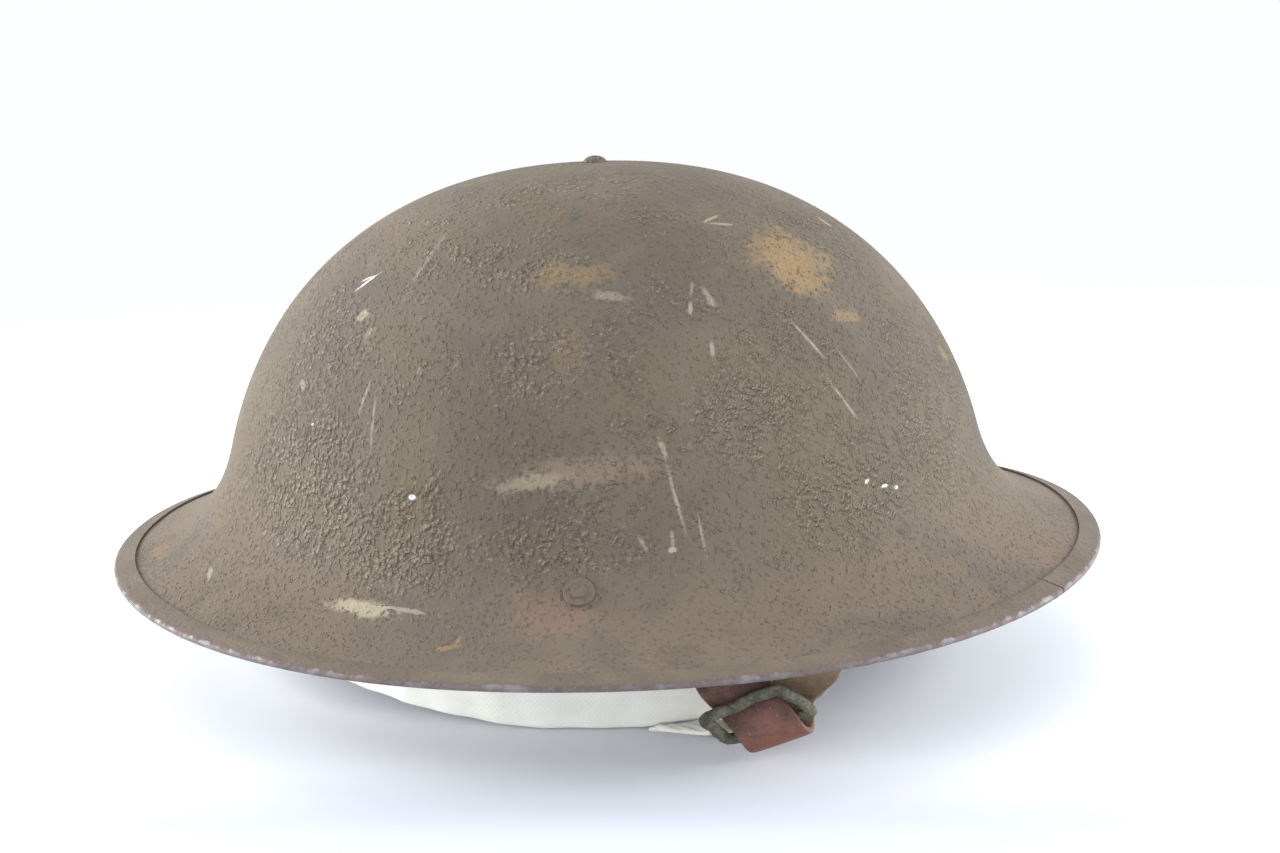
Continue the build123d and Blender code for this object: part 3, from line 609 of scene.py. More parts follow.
@dataclass(frozen=True)
class SandPaint:
    """Matt khaki paint with coarse sand in it, worn and stained, with painted light and shade on its sand lumps and
    painted light on its brim.

    A heap is a place where the sand lies thick: its turn, its way down, its length and width, and its strength.
    The emboss is how far the lumps' painted highlights lie from their painted shade, an offset towards the light.
    """

    name: str = "sand_paint"
    marks: tuple[Mark, ...] = tuple(Mark(*row) for row in (
        (-139.8, 0.583, 4.6, 0.45, 58, WHITE, 1.0, 0.5, 0.2),
        (-140.5, 0.575, 2.2, 0.3, 40, WHITE, 0.9, 0.5, 0.2),
        (-134.8, 0.664, 2.4, 1.5, 60, CREAM, 0.8, 0.8, 0.5),
        (-131.0, 0.700, 2.0, 1.2, 60, CREAM, 0.35, 0.8, 0.5),
        (-141.8, 0.825, 2.2, 0.9, -35, CREAM, 0.6, 0.8, 0.5),
        (-118.2, 1.582, 9.0, 2.4, 2, CREAM, 0.80, 0.8, 0.25),
        (-112.6, 1.560, 7.0, 0.7, 0, PALE, 0.50, 0.8, 0.3),
        (-91.0, 0.555, 9.0, 3.6, 8, OCHRE, 0.40, 1.0, 0.4),
        (-97.0, 0.540, 4.5, 2.4, 20, OCHRE, 0.28, 1.0, 0.4),
        (-84.0, 0.610, 5.0, 1.5, -14, CREAM, 0.40, 0.9, 0.4),
        (-91.4, 0.730, 5.0, 7.0, 0, OCHRE, 0.20, 1.0, 0.6),
        (-90.5, 0.957, 19.0, 4.0, 5, SMEAR, 0.60, 0.8, 0.2),
        (-97.0, 0.972, 9.0, 2.0, 9, CREAM, 0.30, 0.8, 0.2),
        (-92.6, 0.375, 2.2, 3.4, 0, TEAL, 0.55, 1.0, 0.3),
        (-93.4, 0.300, 0.7, 5.0, 0, TEAL, 0.35, 1.0, 0.3),
        (-53.6, 0.405, 3.4, 0.5, 18, CREAM, 0.7, 0.7, 0.3),
        (-52.0, 0.425, 3.4, 0.5, -20, CREAM, 0.6, 0.7, 0.3),
        (-64.6, 0.630, 1.0, 4.2, 8, CREAM, 0.55, 0.8, 0.4),
        (-68.8, 0.645, 0.6, 2.4, -14, CREAM, 0.6, 0.7, 0.3),
        (-67.4, 0.600, 0.5, 2.6, -20, CREAM, 0.35, 0.7, 0.3),
        (-66.8, 0.737, 0.6, 2.0, -6, PALE, 0.5, 0.7, 0.3),
        (-76.2, 0.985, 0.5, 7.0, 10, CREAM, 0.55, 0.6, 0.5),
        (-75.4, 1.060, 0.45, 5.0, 10, CREAM, 0.45, 0.6, 0.5),
        (-72.6, 1.150, 0.45, 5.0, 4, PALE, 0.5, 0.6, 0.5),
        (-81.0, 1.189, 0.6, 2.2, 24, CREAM, 0.6, 0.6, 0.4),
        (-76.8, 1.170, 0.5, 2.6, 0, CREAM, 0.6, 0.6, 0.4),
        (-77.0, 1.225, 1.1, 0.8, 0, PALE, 0.7, 0.5, 0.2),
        (-77.2, 0.918, 0.7, 2.2, 20, CREAM, 0.55, 0.7, 0.4),
        (-41.4, 0.548, 12.5, 11.5, -12, OCHRE, 0.62, 0.8, 0.3),
        (-44.5, 0.560, 6.0, 8.5, -20, OCHRE, 0.30, 0.9, 0.3),
        (-38.5, 0.700, 4.6, 1.8, -8, OCHRE, 0.50, 0.9, 0.4),
        (-49.0, 0.735, 0.45, 7.0, 24, PALE, 0.5, 0.5, 0.4),
        (-46.6, 0.860, 0.45, 7.0, 24, PALE, 0.5, 0.5, 0.4),
        (-43.0, 0.800, 0.4, 6.0, 20, PALE, 0.3, 0.5, 0.4),
        (-115.6, 1.007, 1.1, 0.7, 0, WHITE, 1.0, 0.6, 0.0),
        (-45.8, 1.033, 0.9, 0.5, 40, WHITE, 0.9, 0.6, 0.0),
        (-42.8, 1.068, 1.3, 0.5, 0, WHITE, 0.9, 0.6, 0.0),
        (-40.8, 1.085, 0.7, 0.5, 0, WHITE, 0.8, 0.6, 0.0),
        (-15.4, 0.460, 0.5, 2.4, 0, PALE, 0.9, 0.6, 0.1),
        (-136.4, 0.894, 0.6, 0.4, 0, WHITE, 0.7, 0.6, 0.0),
        (-93.5, 1.560, 9.0, 6.5, 0, ROSE, 0.55, 1.0, 0.2),
        (-98.0, 1.440, 4.0, 2.6, 0, ROSE, 0.45, 1.0, 0.2),
        (-105.0, 1.770, 3.0, 0.8, 30, OCHRE, 0.6, 0.8, 0.2),
        (-104.0, 1.725, 0.8, 1.8, 10, OCHRE, 0.6, 0.8, 0.2),
        (-161.4, 1.780, 7.0, 3.0, 0, ROSE, 0.5, 1.0, 0.2),
        (-24.0, 1.820, 8.0, 4.0, 0, ROSE, 0.35, 1.0, 0.2),
        (-14.4, 0.830, 2.4, 3.4, 10, OCHRE, 0.6, 0.9, 0.4),
        (-127.6, 0.520, 0.8, 12.0, 4, PALE, 0.28, 0.8, 0.5),
        (-124.2, 0.880, 0.5, 9.0, 8, PALE, 0.40, 0.6, 0.5),
        (-127.0, 0.830, 0.5, 5.0, -6, PALE, 0.35, 0.6, 0.5),
        (-84.0, 0.240, 14.0, 9.0, 0, DUST, 0.15, 1.0, 0.5),
        (-145.4, 1.650, 3.6, 0.8, -30, PALE, 0.5, 0.8, 0.3),
        (150.0, 0.70, 9.0, 5.0, 10, OCHRE, 0.40, 1.0, 0.4),
        (118.0, 0.92, 0.5, 8.0, 14, PALE, 0.45, 0.6, 0.4),
        (70.0, 0.60, 8.0, 3.0, 12, DUST, 0.45, 1.0, 0.4),
        (95.0, 1.55, 9.0, 5.0, 0, ROSE, 0.45, 1.0, 0.2),
        (20.0, 0.80, 0.5, 6.0, -20, CREAM, 0.5, 0.6, 0.4),
    ))
    heaps: tuple[tuple[float, ...], ...] = (
        (-134.0, 1.02, 34.0, 26.0, 0.9),
        (-118.0, 1.22, 26.0, 16.0, 0.9),
        (-140.0, 0.74, 22.0, 20.0, 0.6),
        (-64.0, 0.87, 20.0, 15.0, 0.9),
        (-50.0, 1.08, 26.0, 15.0, 0.85),
        (-96.0, 0.76, 18.0, 14.0, 0.6),
        (-92.0, 1.20, 30.0, 8.0, 0.7),
        (-30.0, 0.95, 20.0, 30.0, 0.6),
        (60.0, 0.95, 40.0, 24.0, 0.9),
        (120.0, 0.80, 40.0, 24.0, 0.8),
        (175.0, 1.05, 34.0, 22.0, 0.9),
    )
    emboss: tuple[float, float, float] = (-0.28 * MM, -0.08 * MM, 0.36 * MM)
    blotch: Mark = Mark(-41.5, 0.57, 1, 1, 0, RUST)

    def share(self, g: Graph, bowl: Bowl, mark: Mark, shake: Value) -> Value:
        """How strongly a mark shows: its strength inside its oval, falling to nothing past a shaken edge.

        Args:
            g: The material's graph.
            bowl: The steel that the mark lies on.
            mark: The mark.
            shake: Noise about zero that makes its edge ragged.

        Returns:
            The share.
        """
        place, axes = bowl.frame_at(mark)
        inside = g.mapped(move=tuple(place), turn=tuple(axes.to_euler("XYZ")), kind="TEXTURE",
                          scale=(mark.length * MM, mark.width * MM, 8 * MM))
        far = g.value("ShaderNodeVectorMath", {"operation": "LENGTH"}, {0: inside}, "Value")
        return g.between(far + shake * mark.ragged, 1.35, 0.55, 0.0, mark.strength)

    def build(self, bowl: Bowl, worn: bool = True) -> bpy.types.Material:
        """Makes the material.

        Args:
            bowl: The steel that the marks lie on.
            worn: Whether the marks are on it.

        Returns:
            The material.
        """
        g = Surface(self.name if worn else self.name + "_plain")
        cloud = g.noise(13, 3, 0.55)
        patch = g.noise(42, 4, 0.6, 0.3, g.mapped(move=(0.31, 0.12, 0.07)))
        tint = g.noise(24, 3, 0.6, 0.5, g.mapped(move=(0.05, 0.4, 0.2)))
        mottle = g.noise(190, 3, 0.6)
        grit = g.noise(760, 2, 0.55)
        # the sand noise again, shifted towards the light, for the painted light and shade on the lumps
        lit = g.noise(760, 2, 0.55, 0.0, g.mapped(move=self.emboss))
        fine = g.noise(2400, 2, 0.6)
        level = g.part("Z")
        brim = g.between(level, 0.060, 0.036)
        shake = (mottle - 0.5) * 2.2 + (grit - 0.5) * 1.6
        dense = g.between(patch * 0.6 + mottle * 0.4, 0.48, 0.62, 0.0, 0.60) * (1 - brim * 0.80)
        colour = g.mix(g.between(cloud, 0.36, 0.64), tone(90, 81, 70), tone(100, 90, 77))
        # painted light: the brim, whose face turns up to the light, is painted lighter
        colour = g.mix(brim * 0.55, colour, tone(110, 98, 84))
        colour = g.coats(colour, (tint, 0.50, 0.66, 0.45, (87, 79, 75)), (tint, 0.46, 0.32, 0.40, (97, 87, 69)),
                         (patch, 0.56, 0.70, 0.35, (78, 70, 61)), (patch, 0.42, 0.30, 0.35, (107, 97, 85)))
        if worn:
            for *oval_place, strength in self.heaps:
                heap = Mark(*oval_place, 0, DUST, strength)
                dense = dense.most(self.share(g, bowl, heap, shake) * g.between(mottle, 0.38, 0.54))
            for mark in self.marks:
                share = self.share(g, bowl, mark, shake)
                if mark.length * mark.width > 25 and mark.gritty < 0.35:
                    dense = dense * (1 - share)
                if mark.gritty > 0.1:
                    share = share * (1 - mark.gritty + g.between(grit, 0.42, 0.56) * mark.gritty)
                colour = g.mix(share, colour, mark.colour)
            near = g.distance(tuple(bowl.frame_at(self.blotch)[0]))
            dots = g.between(g.cells(420, g.mapped(move=(0.11, 0.0, 0.03))), 0.26, 0.12)
            colour = g.mix(dots * g.between(near, 0.016, 0.006) * g.between(g.noise(150), 0.44, 0.56) * 0.9,
                           colour, RUST)
        ground = grit + dense * 0.13
        crumb = g.between(ground, 0.55, 0.78)
        # painted shade and painted highlight: lump sides turned to the light are painted lighter, sides turned away
        # painted darker
        rise = (grit - lit) * (0.20 + dense * 1.05)
        colour = g.coats(colour, (rise, -0.02, -0.15, 0.55, (52, 45, 38)), (rise, 0.02, 0.14, 0.45, (152, 140, 124)))
        # painted highlight: the tops of the sand lumps a little lighter
        colour = g.mix(crumb * 0.15, colour, tone(123, 112, 96))
        colour = g.coats(colour, (fine, 0.62, 0.74, 0.20, (143, 132, 117)), (fine, 0.40, 0.28, 0.22, (69, 60, 51)))
        height = crumb * 0.50 + grit * (0.10 + dense * 0.35) + fine * 0.05 + mottle * 0.40
        return g.dress(Base_Color=colour, Roughness=g.between(fine, 0.3, 0.7, 0.90, 0.76),
                       Specular_IOR_Level=0.25, Normal=g.raised(height, 1.0 * MM, 1.0))


@dataclass(frozen=True)
class StripSteel:
    """The rim strip's paint, rubbed through to grey and brown steel towards its nose, where pale streaks are a
    painted sheen on the bare steel.

    The mesh carries "nose", from 0 at the strip's inner edges to 1 at the brim's very edge.
    """

    name: str = "strip_steel"

    def build(self) -> bpy.types.Material:
        """Makes the material.

        Returns:
            The material.
        """
        g = Surface(self.name)
        cloud = g.noise(30, 4, 0.6)
        streak = g.noise(240, 4, 0.62)
        grit = g.noise(760, 2, 0.55)
        fine = g.noise(2000, 2, 0.6)
        nose = g.carried("nose")
        colour = g.mix(g.between(cloud, 0.38, 0.62), tone(92, 82, 71), tone(104, 93, 80))
        brown = g.between(nose + (cloud - 0.5) * 0.9 + (streak - 0.5) * 0.5, 0.55, 0.90)
        colour = g.mix(brown * 0.75, colour, tone(96, 82, 78))
        colour = g.mix(g.between(g.noise(55, 3), 0.56, 0.68) * brown * 0.5, colour, tone(107, 81, 70))
        bare = g.between(nose + (streak - 0.5) * 0.7 + (cloud - 0.5) * 0.4, 0.84, 1.0)
        colour = g.mix(bare * 0.70, colour, tone(110, 103, 104))
        # painted sheen: pale grey streaks on the bare steel of the nose
        colour = g.mix(bare * g.between(streak, 0.52, 0.66) * 0.4, colour, tone(144, 139, 141))
        colour = g.mix(g.between(grit, 0.60, 0.70) * (1 - bare) * 0.5, colour, tone(69, 60, 52))
        colour = g.coats(colour, (fine, 0.62, 0.74, 0.4, (152, 143, 134)))
        height = grit * 0.5 * (1 - bare) + streak * 0.25 + fine * 0.15
        return g.dress(Base_Color=colour, Roughness=g.between(bare, 0, 1, 0.80, 0.48),
                       Metallic=g.between(bare, 0, 1, 0.0, 0.25), Specular_IOR_Level=0.35,
                       Normal=g.raised(height, 0.8 * MM, 0.9))


@dataclass(frozen=True)
class Leather:
    """Strap leather with a grain side and a fuzzy flesh side.

    The mesh carries "flesh", 0 to 1 over its section, and "edge", 1 at its cut edges.
    """

    name: str
    dark: tuple[float, float, float, float]
    bright: tuple[float, float, float, float]
    flesh: tuple[float, float, float, float]
    gloss: float = 0.45

    def build(self) -> bpy.types.Material:
        """Makes the material.

        Returns:
            The material.
        """
        g = Surface(self.name)
        cloud = g.noise(90, 4, 0.6)
        pores = g.cells(2100)
        creases = g.noise(520, 3, 0.6, 0.6)
        fuzz = g.noise(2600, 3, 0.7)
        flesh = g.between(g.carried("flesh"), 0.4, 0.6)
        edge = g.between(g.carried("edge"), 0.55, 0.95)
        worn = g.between(cloud + g.carried("worn") * 0.35, 0.42, 0.80)
        grain = g.mix(worn, self.dark, self.bright)
        grain = g.coats(grain, (creases, 0.50, 0.36, 0.30, (47, 31, 28)))
        back = g.mix(g.between(g.noise(260, 3), 0.36, 0.66), self.flesh, tone(112, 94, 76))
        back = g.coats(back, (fuzz, 0.56, 0.70, 0.5, (172, 157, 137)))
        colour = g.mix(flesh, grain, back)
        colour = g.mix(edge * 0.6, colour, tone(108, 83, 65))
        colour = g.coats(colour, (g.noise(900, 2), 0.66, 0.76, 0.4, (159, 144, 126)))
        height = g.between(pores, 0.0, 0.5) * 0.35 + creases * 0.5 + fuzz * flesh * 0.7
        rough = g.between(creases * 0.5 + flesh * 0.5, 0.2, 0.7, self.gloss, 0.92)
        return g.dress(Base_Color=colour, Roughness=rough, Specular_IOR_Level=0.4,
                       Normal=g.raised(height, 0.45 * MM, 0.8))


@dataclass(frozen=True)
class BucklePaint:
    """Lumpy grey-green paint over wire, with dirt in its hollows."""

    name: str = "buckle_paint"

    def build(self) -> bpy.types.Material:
        """Makes the material.

        Returns:
            The material.
        """
        g = Surface(self.name)
        cloud = g.noise(260, 4, 0.6)
        fine = g.noise(1700, 3, 0.6)
        lump = g.cells(800)
        colour = g.mix(g.between(cloud, 0.36, 0.62), tone(70, 67, 57), tone(104, 102, 89))
        colour = g.coats(colour, (fine, 0.50, 0.36, 0.6, (49, 45, 38)),
                         (g.noise(500, 2), 0.60, 0.72, 0.5, (114, 107, 67)),
                         (fine, 0.62, 0.74, 0.6, (159, 157, 144)))
        return g.dress(Base_Color=colour, Roughness=0.74, Specular_IOR_Level=0.35,
                       Normal=g.raised(cloud * 0.6 + fine * 0.3 + lump * 0.4, 0.7 * MM, 0.9))


@dataclass(frozen=True)
class DullSteel:
    """Tarnished wire, washers and rivets."""

    name: str = "liner_steel"

    def build(self) -> bpy.types.Material:
        """Makes the material.

        Returns:
            The material.
        """
        g = Surface(self.name)
        cloud = g.noise(300, 4, 0.6)
        fine = g.noise(1800, 3, 0.6)
        colour = g.mix(g.between(cloud, 0.36, 0.64), tone(88, 83, 74), tone(128, 123, 112))
        colour = g.coats(colour, (cloud, 0.60, 0.72, 0.7, (105, 70, 49)))
        return g.dress(Base_Color=colour, Roughness=g.between(fine, 0.3, 0.7, 0.38, 0.62),
                       Metallic=g.between(cloud, 0.60, 0.72, 0.75, 0.15),
                       Normal=g.raised(cloud * 0.5 + fine * 0.5, 0.16 * MM, 0.7))


@dataclass(frozen=True)
class Quilting:
    """Soft off-white wadding with a small embossed diamond, its pressed lines painted darker as shade.

    The mesh carries "along" and "up" in millimetres over its surface.
    """

    name: str = "wadding_quilt"
    pitch: float = 2.1
    stain: tuple[float, float, float] = (0.0375, -0.0985, 0.003)

    def build(self) -> bpy.types.Material:
        """Makes the material.

        Returns:
            The material.
        """
        g = Surface(self.name)
        along, up = g.carried("along"), g.carried("up")
        first = ((along + up) * self.pitch).wave().size()
        second = ((along - up) * self.pitch).wave().size()
        diamond = g.between(first.least(second), 0.0, 0.35)
        fuzz = g.noise(1900, 3, 0.7)
        cloud = g.noise(60, 3, 0.6)
        colour = g.mix(g.between(cloud, 0.36, 0.64), tone(240, 239, 229), tone(247, 246, 239))
        # painted shade: the diamond's pressed lines a little darker
        colour = g.mix((1 - diamond) * 0.10, colour, tone(204, 206, 194))
        ragged = (g.noise(500, 3) - 0.5) * 0.008
        share = g.between(g.distance(self.stain) + ragged, 0.0065, 0.0035)
        colour = g.mix(share * 0.7, colour, tone(122, 118, 78))
        height = diamond * 0.35 + fuzz * 0.45
        return g.dress(Base_Color=colour, Roughness=0.95, Specular_IOR_Level=0.15, Sheen_Weight=0.1,
                       Sheen_Roughness=0.6, Normal=g.raised(height, 0.4 * MM, 0.7))


@dataclass(frozen=True)
class Cloth:
    """A woven or felted finish, with threads at a given pitch."""

    name: str
    dark: tuple[float, float, float, float]
    bright: tuple[float, float, float, float]
    threads: float = 3200.0
    rough: float = 0.85
    depth: float = 0.15

    def build(self) -> bpy.types.Material:
        """Makes the material.

        Returns:
            The material.
        """
        g = Surface(self.name)
        cloud = g.noise(70, 4, 0.6)
        weave = ((g.part("X") + g.part("Y")) * self.threads).wave() * (g.part("Z") * self.threads).wave()
        fuzz = g.noise(2400, 3, 0.7)
        crease = g.noise(180, 4, 0.6, 0.5)
        colour = g.mix(g.between(cloud, 0.36, 0.64), self.dark, self.bright)
        colour = g.mix(g.between(crease, 0.58, 0.70) * 0.4, colour, self.bright)
        return g.dress(Base_Color=colour, Roughness=g.between(crease, 0.3, 0.7, self.rough - 0.12, self.rough),
                       Specular_IOR_Level=0.35,
                       Normal=g.raised(weave * 0.25 + fuzz * 0.35 + crease * 0.6, self.depth * 2 * MM, 0.8))


@dataclass
class RimStrip:
    """The folded strip over the brim's edge, open at its butt joint."""

    bowl: Bowl
    leg: float = 6.0 * MM
    steel: float = 0.55 * MM
    fit: float = 0.15 * MM
    joint: float = math.radians(-31.5)
    gap: float = 0.6 * MM
    joint_reach: float = 0.152

    def build(self) -> bpy.types.Object:
        """Makes the strip: a U section, offset from the brim's own curve, carried round it.

        Returns:
            The strip's object.
        """
        half_gap = self.gap / 2 / self.joint_reach
        turn = np.linspace(self.joint + half_gap, self.joint + 2 * np.pi - half_gap, 420)[:, None]
        start_r = np.linalg.norm(self.bowl.skin(turn, np.ones_like(turn))[0][..., :2], axis=-1)
        end_r = np.linalg.norm(self.bowl.skin(turn, 2 * np.ones_like(turn))[0][..., :2], axis=-1)
        lap = self.leg / (3 * self.bowl.run_share * (end_r - start_r))
        share = np.linspace(0, 1, 7)[None]
        down = 2 - lap * (1 - share)
        half = self.bowl.steel / 2
        wall = self.steel + self.fit
        middle, out = self.bowl.skin(turn, np.full_like(turn, 2.0), half)
        tangent = unit(np.stack([out[..., 2] * np.cos(turn), out[..., 2] * np.sin(turn),
                                 -np.hypot(out[..., 0], out[..., 1])], -1))
        angle = np.linspace(np.pi / 2, -np.pi / 2, 9)[None, 1:-1, None]

        def bend(reach: float) -> np.ndarray:
            """Half circle of a reach about the brim's edge, from its top to its underside."""
            return middle + out * np.sin(angle) * reach + tangent * np.cos(angle) * reach

        ends = np.clip((np.abs(np.cos(turn)) - 0.62) / 0.26, 0, 1)
        step = (0.10 + 0.90 * ends) + (0.90 - 0.90 * ends) * np.clip(share * 2.2, 0, 1)
        held = np.maximum(ends, share > 0)
        top = self.bowl.skin(turn, down, -(self.fit * held + self.steel * step))[0]
        low = self.bowl.skin(turn, down, self.bowl.steel + wall)[0]
        top_back = self.bowl.skin(turn, down, -self.fit * np.maximum(0.1, held))[0]
        low_back = self.bowl.skin(turn, down, self.bowl.steel + self.fit)[0]
        section = np.concatenate([top, bend(half + wall), low[:, ::-1],
                                  low_back, bend(half + self.fit)[:, ::-1], top_back[:, ::-1]], 1)
        leg = share[0] * 0.75
        bent = np.sin(np.linspace(0, np.pi, 9))[1:-1] * 0.25 + 0.75
        nose = np.concatenate([leg, bent, leg[::-1], leg, bent[::-1], leg[::-1]])
        work = Patchwork()
        work.grid(section, False, True, caps=Cap.STRIP, nose=nose[None])
        return work.build("rim_strip_skin", 50)


@dataclass
class Wadding:
    """The quilted band that the helmet stands on, and the loose end lying at its near side.

    A ruck is a fold across the band: degrees round, width in degrees and height in millimetres.
    """

    half_x: float = 111.18 * MM
    half_y: float = 97.08 * MM
    thick: float = 8.0 * MM
    top: float = 33.8 * MM
    lift: float = 11.0 * MM
    level_run: float = 23.0 * MM
    loose_start: float = 37.0 * MM
    loose_run: float = 17.0 * MM
    loose_lift: float = 16.0 * MM
    ground: float = 0.1 * MM
    soft_start: float = 14.0
    flap_turns: tuple[float, float] = (-81.5, -66.5)
    flap_root: float = 0.6 * MM
    flap_growth: float = 10.4 * MM
    flap_length: float = 29.0
    rucks: tuple[tuple[float, float, float], ...] = ((-66.0, 1.1, 1.1), (-62.6, 0.9, 1.2), (-59.6, 1.0, 0.9),
                                                     (-69.6, 1.2, 0.6))

    def band(self) -> bpy.types.Object:
        """Makes the band: a rounded upright section carried round an oval, its foot rising towards the ends.

        The foot lies level for some way, then rises straight to the ends, with a soft start. Past the strap on the
        near side it rises faster, by a smooth cubic step.

        Returns:
            The band's object.
        """
        turn = full_turn(420)
        reach, out = oval_line(turn, self.half_x, self.half_y)
        rise = (np.abs(reach[:, 0]) - self.level_run) / (self.half_x - self.level_run)
        foot = self.ground + self.lift * np.logaddexp(0, rise * self.soft_start) / self.soft_start
        lifted = np.clip((reach[:, 0] - self.loose_start) / self.loose_run, 0, 1)
        loose = self.loose_lift * lifted**2 * (3 - 2 * lifted) * (reach[:, 1] < 0)
        foot = np.maximum(foot, self.ground + loose)
        section = rounded_section(2.0, 2.0, 4.2, 44)
        step = run_along(reach)
        swell = (0.35 * np.sin(step[:, None] / (5.2 * MM) + 1.4 * section[None, :, 1])
                 + 0.30 * np.sin(step[:, None] / (2.3 * MM) + 0.8) * (section[None, :, 1] < 0.2)) * MM
        for place, width, rise in self.rucks:
            swell = swell + (rise * MM * np.exp(-((np.degrees(turn - 2 * np.pi) - place) / width) ** 2)[:, None]
                             * (0.6 - 0.4 * section[None, :, 1]))
        inset = self.thick / 2 * (1 - section[None, :, 0]) - swell * (section[None, :, 0] > 0.3)
        level = (foot[:, None] + self.top) / 2 + (self.top - foot[:, None]) / 2 * section[None, :, 1]
        spot = reach[:, None] - out[:, None] * inset[..., None]
        points = np.concatenate([spot, level[..., None]], -1)
        work = Patchwork()
        work.grid(points, True, True, along=step[:, None] / MM, up=level / MM)
        return work.build("wadding_band_quilt", 60)

    def flap(self) -> bpy.types.Object:
        """Makes the loose end: a flat rounded section along the band's foot, from nothing out to a tongue.

        Its outer edge is the band's oval plus a width that grows by a sine to the tongue and rounds off at its tip.

        Returns:
            The loose end's object.
        """
        turn = np.radians(np.linspace(*self.flap_turns, 70))
        place, out = (np.pad(flat, ((0, 0), (0, 1))) for flat in oval_line(turn, self.half_x, self.half_y))
        share = np.linspace(0, 1, 70)
        width = self.flap_root + self.flap_growth * np.sin(np.pi / 2 * np.clip(share / 0.8, 0, 1)) ** 1.3
        width = width * np.sqrt(np.clip((1.02 - share) / 0.14, 0.02, 1))
        thick = (1.0 + 1.1 * np.clip(share * 3, 0, 1) + 0.3 * np.sin(share * 14)) * MM
        section = rounded_section(1.0, 1.0, 3.0, 40)[None] * np.stack([width, thick], -1)[:, None]
        up = np.broadcast_to([0.0, 0.0, 1.0], out.shape)
        centre = place + out * (0.25 * MM + width / 2)[:, None] + up * (thick / 2 + 0.05 * MM)[:, None]
        points = carried_along(centre, out, up, section)
        upper = np.clip((points[..., 2] - 0.8 * MM) / (0.6 * MM), 0, 1)
        points[..., 2] += 0.22 * MM * np.sin(share[:, None] * 46 + points[..., 1] * 1400) * upper
        work = Patchwork()
        work.grid(points, False, True, caps=Cap.FAN, along=share[:, None] * self.flap_length, up=section[..., 0] / MM)
        return work.build("wadding_flap_quilt", 60)


